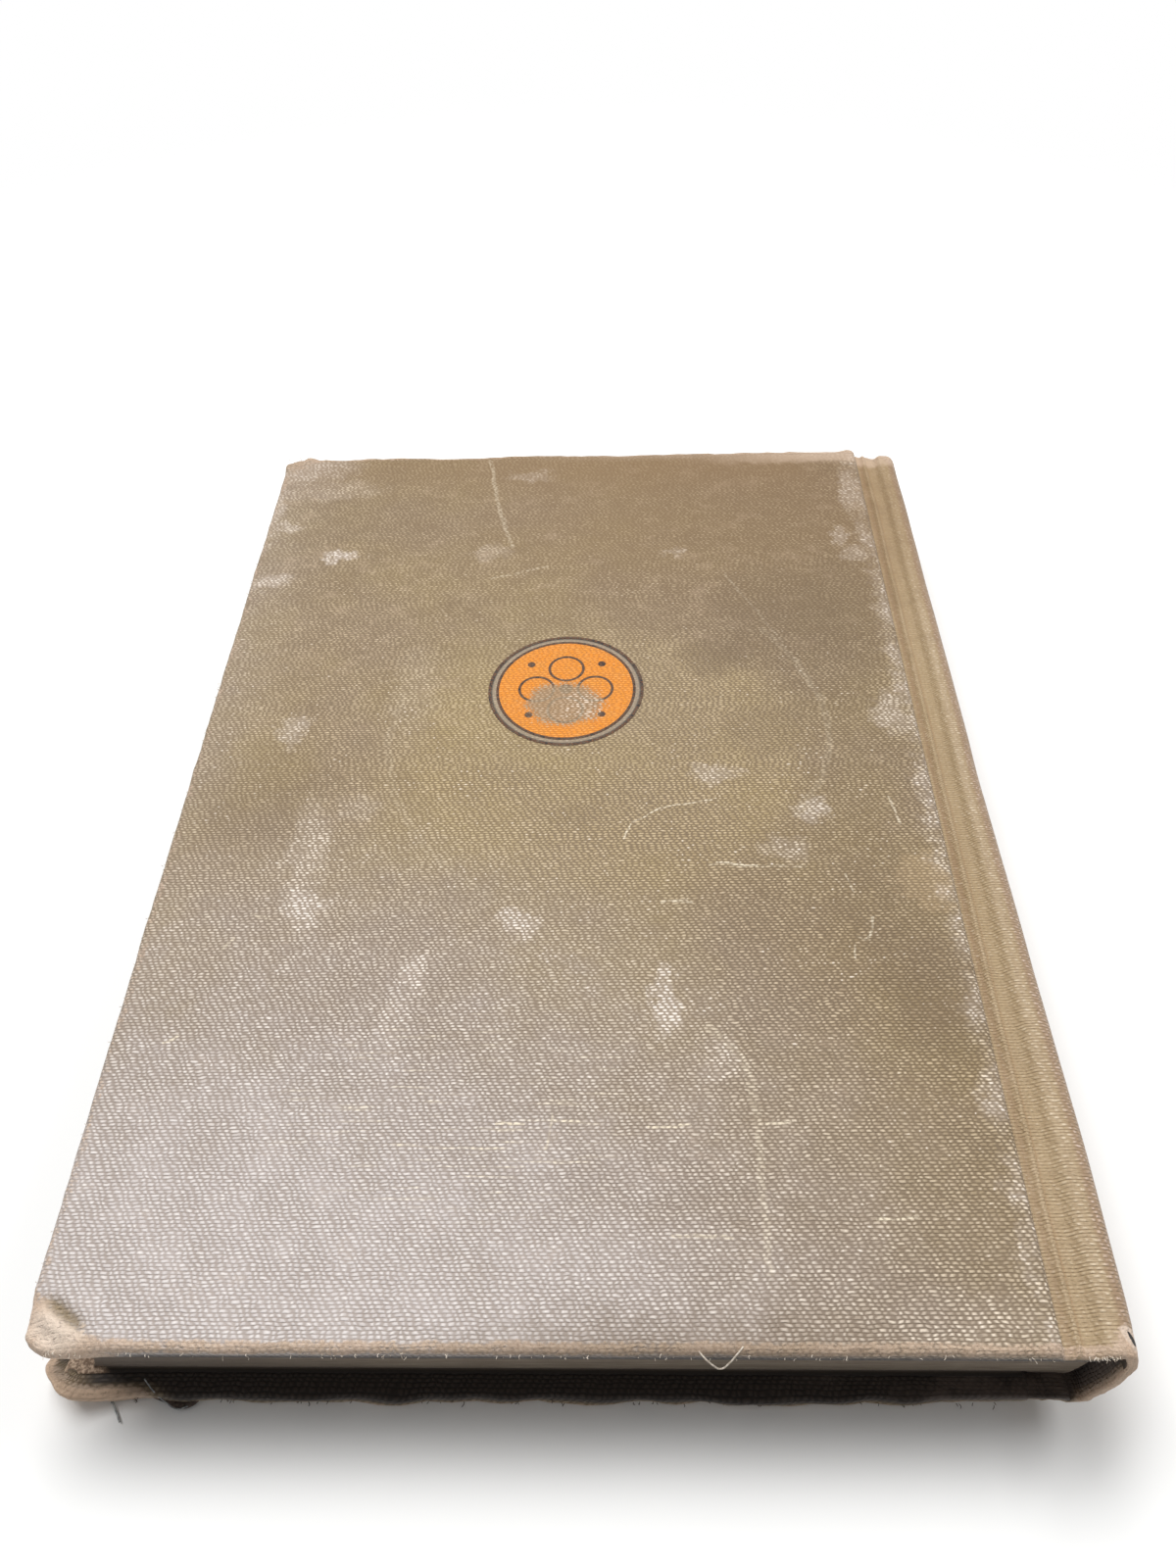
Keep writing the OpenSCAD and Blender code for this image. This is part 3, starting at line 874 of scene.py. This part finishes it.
def worn_shape(place, p, edge, is_back):
    """How far wear has moved the cloth from its true place."""
    seed = 1.0 if is_back else 9.0
    outer = 1.0 if place.z > top_z - cover_t + 0.5 else 0.25
    move = shake(place, 2.4, seed) * 0.2 * edge * outer
    move += shake(place, 0.8, seed + 3) * 0.12 * edge * outer
    move += shake(place, 14.0, seed + 5) * 0.3 * edge * outer
    # The face is a little uneven, but pressed flat under the print
    from_print = math.hypot(place.x - print_centre.x, place.y - print_centre.y)
    move.z += shake(place, 30.0, seed + 7).z * 0.1 * outer * smooth((from_print - 15) / 10)
    if is_back:
        move.z -= PRINT_BED * smooth((16.5 - from_print) / 2.0) * outer
    return move * smooth((joint_x - 2.5 - p) / 3.0)


def knocked(place, is_back):
    """Bends of a cover's fore-edge corners, in the back cover's own frame.

    At the tail the back cover's corner droops behind a short crease. The front cover's is bent
    towards the leaves and spread outwards. The head corners have frayed to small peaks.
    """
    from_tail = from_tail_corner(place.x, place.y)
    move = Vector((0.0, 0.0, 0.0))
    if is_back:
        past = CREASE_AT - from_tail
        on_face = smooth((place.z - 18.6) / 0.8)
        move.z -= 0.9 * smooth(past / 3.4)
        sharp = in_crease(place.x, place.y) * on_face
        move.z -= 0.7 * math.exp(-(past / 0.6) ** 2) * sharp
        move.z += 0.7 * math.exp(-((past - 1.7) / 0.9) ** 2) * sharp
        for x, y, wide, out in HEAD_PEAKS:
            gap = math.hypot(place.x - fore_x - x, place.y - tail_y - y)
            away = Vector((-0.35 if x < 60 else 0.1, 1.0, 0.25))
            move += away * out * smooth(1 - gap / wide)
    else:
        bent = smooth((4.1 - from_tail) / 2.2)
        spread = smooth((12.0 - math.hypot(place.x - fore_x, place.y - tail_y)) / 9.0)
        move += Vector((-3.4 * spread, -0.4 * spread, -2.2 * bent))
        frayed = smooth((tail_y + 1.2 - place.y) / 1.2) * smooth((joint_x - 6.0 - place.x) / 12.0)
        move.y -= 0.55 * frayed * (1 + shake(place, 5.0, 31.0).y)
    return move


def joint_depth(u):
    """Depth of the joint's cloth below the covers' faces, u from the cover."""
    floor = GROOVE_DEPTH + (VALLEY_DEPTH - GROOVE_DEPTH) * smooth((u - GROOVE_W) / CREASE_W)
    ridge = 2 * (u - GROOVE_W) / CREASE_W - 1
    if abs(ridge) < 1:
        floor -= CREASE_RISE * (1 + math.cos(math.pi * ridge)) / 2
    up = smooth((u - JOINT_W + RISE_W) / RISE_W)
    return floor * (1 - up) + SPINE_DROP * up


def joint_columns():
    """The joint's cloth from the cover's edge to the spine's piece: places across and up."""
    half = mid_z
    fillet = GROOVE_DEPTH - EDGE_DROP
    points = []
    for i in range(5):
        a = math.pi / 2 * i / 4
        x = joint_x + fillet * (1 - math.cos(a))
        points.append((x, half - EDGE_DROP - fillet * math.sin(a)))
    # The last step is short, so that the shading of the cut edge stays in it
    for u in spaced(fillet, SPINE_START - 0.03, 0.25)[1:] + [SPINE_START]:
        points.append((joint_x + u, half - joint_depth(u)))
    return points


def spine_columns():
    """The spine's cloth from one joint to the other."""
    half = mid_z
    # The first step lies under the joint's piece
    lapped = SPINE_START - LAP
    upper = [(joint_x + lapped, half - joint_depth(lapped) - 0.15)]
    starts = [SPINE_START] + spaced(SPINE_START + 0.03, JOINT_W, 0.28)
    upper += [(joint_x + u, half - joint_depth(u)) for u in starts]
    spine_half = half - SPINE_DROP
    inner_r = SPINE_R - SPINE_CORNER_R
    rise = spine_half - SPINE_CORNER_R
    corner_x = spine_x - SPINE_R + math.sqrt(inner_r ** 2 - rise ** 2)
    meet = math.atan2(rise, corner_x - (spine_x - SPINE_R))
    for i in range(9):
        a = math.pi / 2 + (meet - math.pi / 2) * i / 8
        upper.append((corner_x + SPINE_CORNER_R * math.cos(a), rise + SPINE_CORNER_R * math.sin(a)))
    back = []
    for i in range(1, 24):
        a = meet * (1 - i / 12)
        back.append((spine_x - SPINE_R + SPINE_R * math.cos(a), SPINE_R * math.sin(a)))
    return upper + back + [(x, -z) for x, z in reversed(upper)]


def strip_cloth(name, points, first_p, last_roll, material):
    """Cloth that runs along the book on a profile, turned in at head and tail."""
    lengths = [0.0]
    for a, b in zip(points, points[1:]):
        lengths.append(lengths[-1] + math.dist(a, b))
    bm, (layer, fold), cells = grid(range(len(points)), rows_along(last_roll))
    for v, i, q in cells:
        x, z = points[i]
        a, b = points[max(i - 1, 0)], points[min(i + 1, len(points) - 1)]
        tangent = Vector((b[0] - a[0], b[1] - a[1])).normalized()
        outward = Vector((-tangent.y, tangent.x))
        place, past = strip_place(x, z, outward, q)
        rim = smooth((x - joint_x - 4.5) / 2.5)
        edge = max(edge_wear(past), rim * smooth((past + 4.5) / 4.0) * smooth((4.6 - past) / 1.2))
        turned = turned_in(past - 2.2 * rim)
        v[layer] = (first_p + lengths[i] - fore_x, q - tail_y, edge)
        v[fold] = (x - joint_x, turned, 0.0)
        v.co = place + strip_wear(place, x - joint_x, edge)
    return finish_piece(bm, name, [material], CLOTH_T)


def strip_place(x, z, outward, q):
    """Place of the joint's or the spine's cloth on its profile, q along the book."""
    u = x - joint_x
    sign = 1.0 if z > 0 else -1.0
    in_spine = smooth((u - 2.6) / 2.0)
    # Where the cloth lies once it is turned in: level under the joints, and inside the spine's card
    under_joint = Vector((0.0, -sign * (abs(z) - (mid_z - cover_t))))
    under_spine = -outward * FOLDED_T
    inner = under_joint.lerp(under_spine, in_spine)
    tail_start, head_start = tail_y + EDGE_R, head_y - EDGE_R
    past = max(tail_start - q, q - head_start)
    out, depth = roll(past)
    y = tail_start - out if q < mid_y else head_start + out
    y -= (head_y - spine_head_y) * smooth((u + 0.3) / 5.5) * smooth((y - head_y + 22) / 22)
    share = depth / cover_t
    return Vector((x + inner.x * share, y, z + inner.y * share + mid_z)), past


def strip_wear(place, u, edge):
    """Unevenness of the joint and the spine, which fades where they meet the covers."""
    move = shake(place, 3.0, 21.0) * 0.16 * edge
    move += shake(place, 0.9, 24.0) * 0.1 * edge
    move.z += shake(place, 12.0, 26.0).z * 0.16
    move.x += shake(place, 16.0, 28.0).x * 0.16
    # The back bellies out towards the tail and draws in at the head
    if place.z > mid_z:
        along = place.y - tail_y
        belly = 0.8 * smooth((along + 8.0) / 16.0) * smooth((95.0 - along) / 70.0)
        move.x += belly * smooth((u - 3.5) / 4.0) * smooth((place.z - mid_z) / 4.0)
    return move * smooth(u / 1.5)


def board_piece(name, is_back, material, corner_r):
    """The board inside a cover, knocked at the same corner as its cloth."""
    gap = CLOTH_T
    span = (fore_x + gap, joint_x - gap), (tail_y + gap, head_y - gap)
    # Its corners keep clear of the bent cloth
    corner_r += 1.6
    thickness = cover_t - 2 * gap
    return sheet(name, is_back, material, span, corner_r, lambda x, y: top_z - gap, thickness)


def pastedown_piece(name, is_back, material):
    """Endpaper glued to the inside of a cover, sunk where the cloth isn't turned in beneath it."""
    inset = 2.5
    span = (fore_x + inset, joint_x - CLOTH_T), (tail_y + inset, head_y - inset)

    def level(x, y):
        from_edge = min(x - fore_x, y - tail_y, head_y - y)
        return top_z - cover_t + CLOTH_T * smooth((from_edge - TURN_IN) / 1.2) - 0.01
    return sheet(name, is_back, material, span, 0.6, level, PAPER_T)


def sheet(name, is_back, material, span, corner_r, level, thickness):
    """A stiff sheet of a cover: a grid with rounded fore-edge corners, on the level given."""
    (x_low, x_high), (y_low, y_high) = span
    near = [0.0, 0.4, 0.9, 1.5, 2.2, 3.0, 4.0, 5.2, 7.0, 9.5]
    columns = [x_low + s for s in near] + spaced(x_low + 11.5, x_low + 14.0, 0.5)
    columns += spaced(x_low + 20.0, x_high, 8.0)
    rows = [y_low + s for s in near] + spaced(y_low + 11.5, y_low + 14.0, 0.5)
    rows += spaced(y_low + 20.0, y_high - 20.0, 8.0)
    rows += spaced(y_high - 14.0, y_high - 11.5, 0.5) + [y_high - s for s in reversed(near)]
    bm, _, cells = grid(columns, rows)
    for v, p, q in cells:
        centre_x = max(p, x_low + corner_r)
        centre_y = min(max(q, y_low + corner_r), y_high - corner_r)
        dx, dy = p - centre_x, q - centre_y
        if dx and dy:
            pull = max(abs(dx), abs(dy)) / math.hypot(dx, dy)
            p, q = centre_x + dx * pull, centre_y + dy * pull
        place = Vector((p, q, level(p, q)))
        place += knocked(place, is_back)
        if not is_back:
            place.z = top_z - place.z
        v.co = place
    if not is_back:
        bmesh.ops.reverse_faces(bm, faces=bm.faces)
    return finish_piece(bm, name, [material], thickness)


def hinge_paper(name, profile, side, material, thickness):
    """Endpaper along a joint, on a profile of distances from the cover and heights."""
    points = [(joint_x + u, z) for u, z in profile]
    if side < 0:
        points = [(x, top_z - z) for x, z in reversed(points)]
    half_l = leaf_half - 0.05
    bm, _, cells = grid(points, spaced(-half_l, half_l, 9.0))
    for v, (x, z), y in cells:
        v.co = (x, y, z)
    piece = finish_piece(bm, name, [material], thickness)
    return piece


def thread_paint(name, pale, dark):
    """Loose thread, twisted of pale and darker fibres."""
    paint = Paint(name)
    place = paint.object_mm()
    twist = paint.noise(place, 2.6, 3.0, 0.7)
    colour = paint.mix(twist.ramp(0.35, 0.65), dark, pale)
    return paint.finish(colour, 0.8 + twist * 0.1)


def threads(name, runs, radius, material, body):
    """Loose threads of the cloth: fine tubes, each through its points."""
    data = bpy.data.curves.new(name, "CURVE")
    data.dimensions = "3D"
    data.bevel_depth = radius * MM
    data.bevel_resolution = 1
    data.resolution_u = 6
    data.use_fill_caps = True
    for points in runs:
        spline = data.splines.new("BEZIER")
        spline.bezier_points.add(len(points) - 1)
        for bezier, point in zip(spline.bezier_points, points):
            bezier.co = Vector(point) * MM
            bezier.handle_left_type = bezier.handle_right_type = "AUTO"
    curve = placed(name, data)
    mesh = worked_out(curve)
    bpy.data.objects.remove(curve)
    mesh.name = name
    mesh.materials.clear()
    mesh.materials.append(material)
    piece = placed(name, mesh)
    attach(piece, body)


def frays(places, away, seed, long):
    """Short threads that stand out of a worn edge, from places with a common direction."""
    dice = random.Random(seed)
    runs = []
    for place in places:
        start = Vector(place) + Vector([dice.uniform(-0.15, 0.15) for _ in range(3)])
        lean = Vector([dice.uniform(-0.8, 0.8) for _ in range(3)])
        reach = (Vector(away) + lean).normalized() * dice.uniform(0.4, 1.0) * long
        curl = Vector([dice.uniform(-0.3, 0.3) for _ in range(3)]) * long
        runs.append([start - reach * 0.2, start + reach * 0.5 + curl, start + reach])
    return runs


# Plain finishes of the solids that stay

def page_edge_paint():
    """Trimmed leaf edges: fine lines one above another, browned and dusty, and painted darker all
    over as shade.
    """
    paint = Paint("page_edges")
    place = paint.object_mm()
    x, y, z = paint.split(place)
    lines = paint.drift(x / 60.0, y / 60.0, z, 9.0, 3.0, 0.7)
    groups = paint.drift(x / 90.0, y / 90.0, z, 1.1, 2.0, 0.5)
    stain = paint.noise(place, 0.05, 3.0, 0.6)
    dusty = x.ramp(leaf_low.x + 45.0, leaf_low.x + 2.0)
    # Painted shade keeps the edges' colours dark all over; they are darker still towards the
    # fore-edge
    colour = paint.lay(
        srgb(118, 105, 92),
        (lines.ramp(0.3, 0.7), srgb(164, 150, 133)),
        (groups.ramp(0.45, 0.7) * 0.4, srgb(112, 98, 84)),
        (stain.ramp(0.4, 0.75) * 0.4, srgb(124, 108, 92)),
        (dusty * 0.55, srgb(104, 96, 92)))
    relief = paint.bump(lines * 0.7 + groups * 0.6, 0.14)
    return paint.finish(colour, 0.85 + lines * 0.1, Normal=relief)


def paper_paint():
    """Plain aged endpaper with a darker border, faint foxing, and painted shade at its edges."""
    paint = Paint("endpaper")
    place = paint.object_mm()
    x, y, z = paint.split(place)
    fibres = paint.noise(place, 2.5, 4.0, 0.6)
    tone = paint.noise(place, 0.03, 2.0, 0.5)
    fox = paint.noise(place, 0.35, 3.0, 0.55).ramp(0.66, 0.74)
    half_l = (head_y - tail_y) / 2
    from_middle = y.math("ABSOLUTE")
    rim = from_middle.ramp(half_l - 26, half_l - 3).math("MAXIMUM", x.ramp(fore_x + 22, fore_x + 3))
    from_edge = (leaf_half - from_middle).math("MINIMUM", x - leaf_low.x)
    # Grime and painted shade darken the paper near the leaves' edges; painted shade makes it near
    # black past them
    grime_and_shade = (from_edge + (fibres - 0.5) * 0.8).ramp(2.0, 0.3)
    cut = from_edge.ramp(0.06, 0.02) * from_edge.ramp(-0.1, -0.02)
    # Frayed cloth lies over the corner of the front cover's paper
    frayed = blob(x - fore_x, y - tail_y, (1.0, 1.0), (5.2, 4.4)).ramp(0.05, 0.5)
    frayed = frayed * z.ramp(mid_z, mid_z - 1.0)
    colour = paint.lay(
        srgb(222, 205, 170),
        (tone.ramp(0.3, 0.7), srgb(230, 215, 184)),
        (rim * 0.45, srgb(196, 172, 132)),
        (fox * 0.5, srgb(176, 138, 92)),
        (fibres.ramp(0.4, 0.7) * 0.15, srgb(198, 178, 142)),
        (grime_and_shade * 0.9, srgb(86, 75, 64)),
        (from_edge.ramp(0.1, -0.3) * 0.9, srgb(40, 34, 31)),
        (cut * 0.9, srgb(112, 101, 92)),
        (frayed * 0.92, paint.mix(fibres.ramp(0.4, 0.7), srgb(120, 98, 80), WORN_TAN)))
    return paint.finish(colour, 0.8 + fibres * 0.1, Normal=paint.bump(fibres, 0.03))


def fibre_board_paint(name, pale, dark):
    """Millboard or card: short fibres pressed together."""
    paint = Paint(name)
    place = paint.object_mm()
    fibres = paint.noise(place, 1.8, 5.0, 0.7)
    tone = paint.noise(place, 0.1, 2.0, 0.5)
    x = paint.split(place)[0]
    # Painted shade: darker near the joint and the fore-edge, where the board lies in shadow inside
    # the cloth
    shaded_ends = x.ramp(joint_x - 6.0, joint_x - 1.5).math("MAXIMUM", x.ramp(fore_x + 9.0, fore_x + 4.0))
    pressed = (fibres * 0.7 + tone * 0.3).ramp(0.35, 0.65)
    colour = paint.lay(dark, (pressed, pale), (shaded_ends * 0.9, srgb(56, 45, 38)))
    return paint.finish(colour, 0.85 + tone * 0.1, Normal=paint.bump(fibres, 0.06))


def open_weave_paint():
    """Starched open-weave lining cloth."""
    paint = Paint("mull_cloth")
    x, y, z = paint.split(paint.object_mm())
    warp, weft = [(across / 0.9 * 2 * math.pi).math("SINE") for across in (y, z)]
    open_net = warp.math("MAXIMUM", weft).ramp(0.1, 0.8)
    colour = paint.mix(open_net, srgb(158, 138, 108), srgb(214, 204, 184))
    return paint.finish(colour, 0.8 + open_net * 0.1, Normal=paint.bump(open_net, 0.12))


def print_paint(name, fresh, faded, chipped):
    """Opaque stamped colour that lets the weave through and is worn to the cloth in its middle."""
    paint = Paint(name)
    x, y, z = paint.split(paint.object_mm())
    across, along = x - fore_x, y - tail_y
    height, glint, ridge = weave(paint, across, along)
    place = paint.join(across, along, 0.0)
    speck = paint.noise(place, 2.2, 3.0, 0.75)
    patchy = paint.noise(place, 0.3, 3.0, 0.6)
    grain = paint.noise(place, 3.2, 3.0, 0.7)
    cx, cy = print_centre.x - fore_x, print_centre.y - tail_y
    ragged = across + (patchy - 0.5) * 7.0, along + (speck - 0.5) * 3.0
    gone = blob(*ragged, (cx - 0.2, cy - 3.7), (9.4, 7.2)) * 1.5
    gone = (gone + (grain - 0.5) * 2.2 + (height - 0.5) * 0.5).ramp(0.45, 1.0)
    chips = (grain * 0.75 + height * 0.35).ramp(chipped, chipped + 0.1) * 0.75
    pale = blob(across, along, (cx + 3.0, cy - 4.5), (6.0, 4.5))
    # The thread tops of the bare cloth and of the print take painted highlights from the weave's
    # glint
    bare = paint.lay(
        srgb(130, 108, 80),
        (height, srgb(172, 148, 116)),
        (glint * (pale * 0.7 + 0.22), srgb(236, 222, 204)))
    colour = paint.lay(
        fresh,
        (patchy.ramp(0.35, 0.7) * 0.6, faded),
        ((height * 0.6 + grain).ramp(0.95, 0.45) * 0.6, PRINT_SHADE),
        (glint * grain * 0.3, srgb(255, 206, 150)),
        (gone.math("MAXIMUM", chips) * 0.9, bare))
    return paint.finish(colour, 0.6 + speck * 0.15, Normal=paint.bump(height, 0.09))


def repaint(material, *nodes):
    """Gives solids of the frame their material."""
    for node in nodes:
        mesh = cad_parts[node].data
        mesh.materials.clear()
        mesh.materials.append(material)


def floor_and_light():
    """A white table that fades into the white around it, a large soft lamp, and a smaller one.

    The table dips beside the spine, because the front cover turns down to there when it opens and
    the leaves stay where they are.
    """
    bm = bmesh.new()
    bmesh.ops.create_grid(bm, x_segments=120, y_segments=1, size=FLOOR_HALF)
    for v in bm.verts:
        # The strips of the grid are narrower near the book
        v.co.x = FLOOR_HALF * math.copysign((abs(v.co.x) / FLOOR_HALF) ** 1.6, v.co.x)
        beside = v.co.x - FLOOR_DIP[0]
        v.co.z = -3.2 * smooth(beside / 6) - 6.0 * smooth(beside / FLOOR_DIP[1])
    paint = Paint("floor_paint")
    place = paint.object_mm()
    mottle = paint.noise(place, 0.004, 2.0, 0.5)
    colour = paint.mix(mottle, srgb(246, 246, 245), srgb(250, 250, 249))
    away = paint.node("VectorMath", {"operation": "LENGTH"}, {0: place}, out="Value")
    finish_piece(bm, "floor", [paint.finish(colour, 0.9, Alpha=away.ramp(360.0, 170.0))])

    world = bpy.data.worlds.new("studio")
    bpy.context.scene.world = world
    sky = Paint("studio", world)
    seen = sky.node("LightPath", {}, {}, out="Is Camera Ray")
    seen = seen.math("MAXIMUM", sky.node("LightPath", {}, {}, out="Is Transmission Ray"))
    strength = sky.node("MapRange", {}, {"Value": seen, "To Min": 0.24, "To Max": 1.0})
    back = sky.node("Background", {}, {"Color": (1.0, 1.0, 1.0, 1.0), "Strength": strength})
    sky.node("OutputWorld", {}, {"Surface": back})
    middle = (0.0, 0.0, 0.01)
    lamp("ceiling_light", (-0.24, 0.32, 1.0), middle, (0.9, 0.5), 12.2)
    lamp("side_light", (0.75, 0.3, 0.7), middle, (0.6, 0.5), 3.5)


def joint_blend(piece, cover, side):
    """Bakes the place of a piece between the leaves and a cover, at the joint, into its mesh. side
    is 1 for the back cover.
    """
    level = mid_z + side * (mid_z - GROOVE_DEPTH)
    end = Vector((joint_x + 0.12, 0.0, level + side * 0.15)) * MM
    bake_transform(piece)


def run_of(points):
    """Length of a path."""
    return sum(math.dist(a, b) for a, b in zip(points, points[1:]))


camera_at_photo()
floor_and_light()

marked_cloth = cloth_paint("book_cloth", True)
plain_cloth = cloth_paint("book_cloth_underside", False)
board_paint = fibre_board_paint("millboard", srgb(168, 146, 112), srgb(120, 100, 74))
paper = paper_paint()

# The case's cloth. Unrolled, the joint's piece takes over from the cover's at joint_p
joint_p = joint_x - EDGE_R + math.pi / 2 * EDGE_R + EDGE_DROP - EDGE_R
back_cover = cover_cloth("back_cover_cloth", BACK_CORNER_R, True, marked_cloth)
front_cover = cover_cloth("front_cover_cloth", FRONT_CORNER_R, False, plain_cloth)
upper_points = joint_columns()
spine_points = spine_columns()
lower_points = [(x, -z) for x, z in reversed(upper_points)]
spine_p = joint_p + run_of(upper_points)
upper_joint = strip_cloth("back_joint_cloth", upper_points, joint_p, JOINT_ROLL, marked_cloth)
spine = strip_cloth("spine_case_cloth", spine_points, spine_p, SPINE_ROLL, marked_cloth)
lower_p = spine_p + run_of(spine_points)
lower_joint = strip_cloth("front_joint_cloth", lower_points, lower_p, JOINT_ROLL, marked_cloth)

# Boards and endpapers, and on which body each piece rides
worn_forms = [
    (back_cover, "back_cover", "back_cloth", "book_cloth"),
    (front_cover, "front_cover", "front_cloth", "book_cloth"),
    (spine, "text_block", "spine_cloth", "book_cloth"),
]
for side, is_back, corner_r in (("back", True, BACK_CORNER_R), ("front", False, FRONT_CORNER_R)):
    board = board_piece(side + "_knocked_board", is_back, board_paint, corner_r)
    pasted = pastedown_piece(side + "_glued_endpaper", is_back, paper)
    worn_forms.append((board, side + "_cover", side + "_board", "board"))
    worn_forms.append((pasted, side + "_cover", side + "_pastedown", "endpaper"))
for piece, body, node, slot in worn_forms:
    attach(piece, body)
    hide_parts(node)
for piece, cover, sign in ((upper_joint, "back_cover", 1), (lower_joint, "front_cover", -1)):
    joint_blend(piece, cover, sign)

# The endpapers' folds at the two joints
FOLD_PROFILE = [(-0.42, 17.45), (-0.3, 17.75), (-0.05, 18.0), (0.25, 18.1)]
FOLD_PROFILE += [(u, 18.13) for u in (0.8, 1.2, 1.7, 2.2)]
REST_PROFILE = [(u, 18.23) for u in (0.7, 1.5, 2.35)]
for side, sign in (("back", 1), ("front", -1)):
    fold = hinge_paper(side + "_hinge_paper", FOLD_PROFILE, sign, paper, 0.1)
    joint_blend(fold, side + "_cover", sign)
    rest = hinge_paper(side + "_shoulder_paper", REST_PROFILE, sign, paper, 0.08)
    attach(rest, "text_block")

# Loose threads
grey_thread = thread_paint("grey_thread", srgb(186, 188, 188), srgb(128, 131, 132))
pale_thread = thread_paint("pale_thread", srgb(232, 222, 208), srgb(190, 176, 158))
dark_thread = thread_paint("dark_thread", srgb(104, 88, 78), srgb(52, 42, 36))
threads("hanging_thread", [
    [(-61.6, -91.2, 0.5), (-61.2, -92.1, 0.55), (-60.5, -93.3, 0.5), (-60.1, -93.9, 0.4),
     (-59.4, -95.0, 0.45)],
    [(-61.5, -91.2, 0.6), (-61.3, -92.0, 0.8), (-60.9, -92.8, 0.7)],
], 0.14, grey_thread, "front_cover")
threads("torn_loop", [
    [(-58.6, -91.2, 0.7), (-56.4, -91.6, 0.8), (-54.0, -92.3, 0.6), (-52.2, -93.0, 0.5),
     (-50.6, -92.8, 0.6), (-49.4, -91.9, 0.9), (-48.6, -91.0, 1.0)],
], 0.42, dark_thread, "front_cover")
threads("loop_thread", [
    [(-56.4, -90.6, 3.4), (-55.2, -91.8, 2.6), (-53.6, -92.9, 1.3), (-52.2, -93.5, 0.8),
     (-50.8, -93.2, 0.9)],
], 0.09, grey_thread, "front_cover")
threads("edge_thread", [
    [(14.4, -91.7, 19.9), (15.2, -92.4, 19.4), (16.2, -92.8, 18.2), (17.0, -92.9, 17.5),
     (17.9, -92.6, 18.4), (18.9, -91.9, 19.8), (19.6, -91.2, 20.1)],
], 0.1, pale_thread, "back_cover")

# Short frays along the worn edges. Each place draws its numbers in the order x, y, z
spot = random.Random(5).uniform
tail_places = [(spot(fore_x + 3, joint_x - 1), tail_y, top_z - spot(0.4, 1.6)) for _ in range(90)]
head_places = [(fore_x + spot(0.0, 6.0), head_y + 0.3, top_z - spot(0.3, 1.0)) for _ in range(14)]
side_places = [
    (fore_x + 0.05, spot(tail_y + 8, head_y - 4), top_z - spot(0.4, 1.2)) for _ in range(60)]
rim_places = [(joint_x + spot(3.0, 6.4), tail_y, top_z - spot(0.4, 1.2)) for _ in range(22)]
under_places = [(spot(fore_x + 2, joint_x - 1), tail_y - 0.3, spot(0.3, 1.6)) for _ in range(70)]
runs = frays(tail_places, (0, -1, 0.2), 1, 0.5)
runs += frays(head_places, (-0.2, 1, 0.1), 3, 1.1) + frays(side_places, (-1, 0, 0.2), 4, 0.4)
threads("edge_frays", runs, 0.04, pale_thread, "back_cover")
threads("spine_frays", frays(rim_places, (0.1, -1, 0.2), 6, 0.5), 0.04, pale_thread, "text_block")
threads("under_frays", frays(under_places, (0, -1, 0.1), 7, 0.6), 0.045, dark_thread, "front_cover")

# Solids that show as they are
repaint(page_edge_paint(), "text_block")
repaint(paper, "back_flyleaf", "front_flyleaf")
repaint(fibre_board_paint("inlay_card", srgb(176, 156, 124), srgb(134, 114, 84)), "spine_inlay")
repaint(fibre_board_paint("lining_paper", srgb(166, 136, 98), srgb(126, 98, 66)), "spine_lining")
repaint(open_weave_paint(), "mull")
repaint(print_paint("orange_print", srgb(238, 144, 26), srgb(228, 148, 48), 0.76), "roundel_field")
dark_print = print_paint("dark_print", srgb(24, 28, 32), srgb(44, 46, 48), 0.84)
repaint(dark_print, "roundel_rings", "roundel_ornament")

bpy.context.scene.view_settings.view_transform = "Standard"
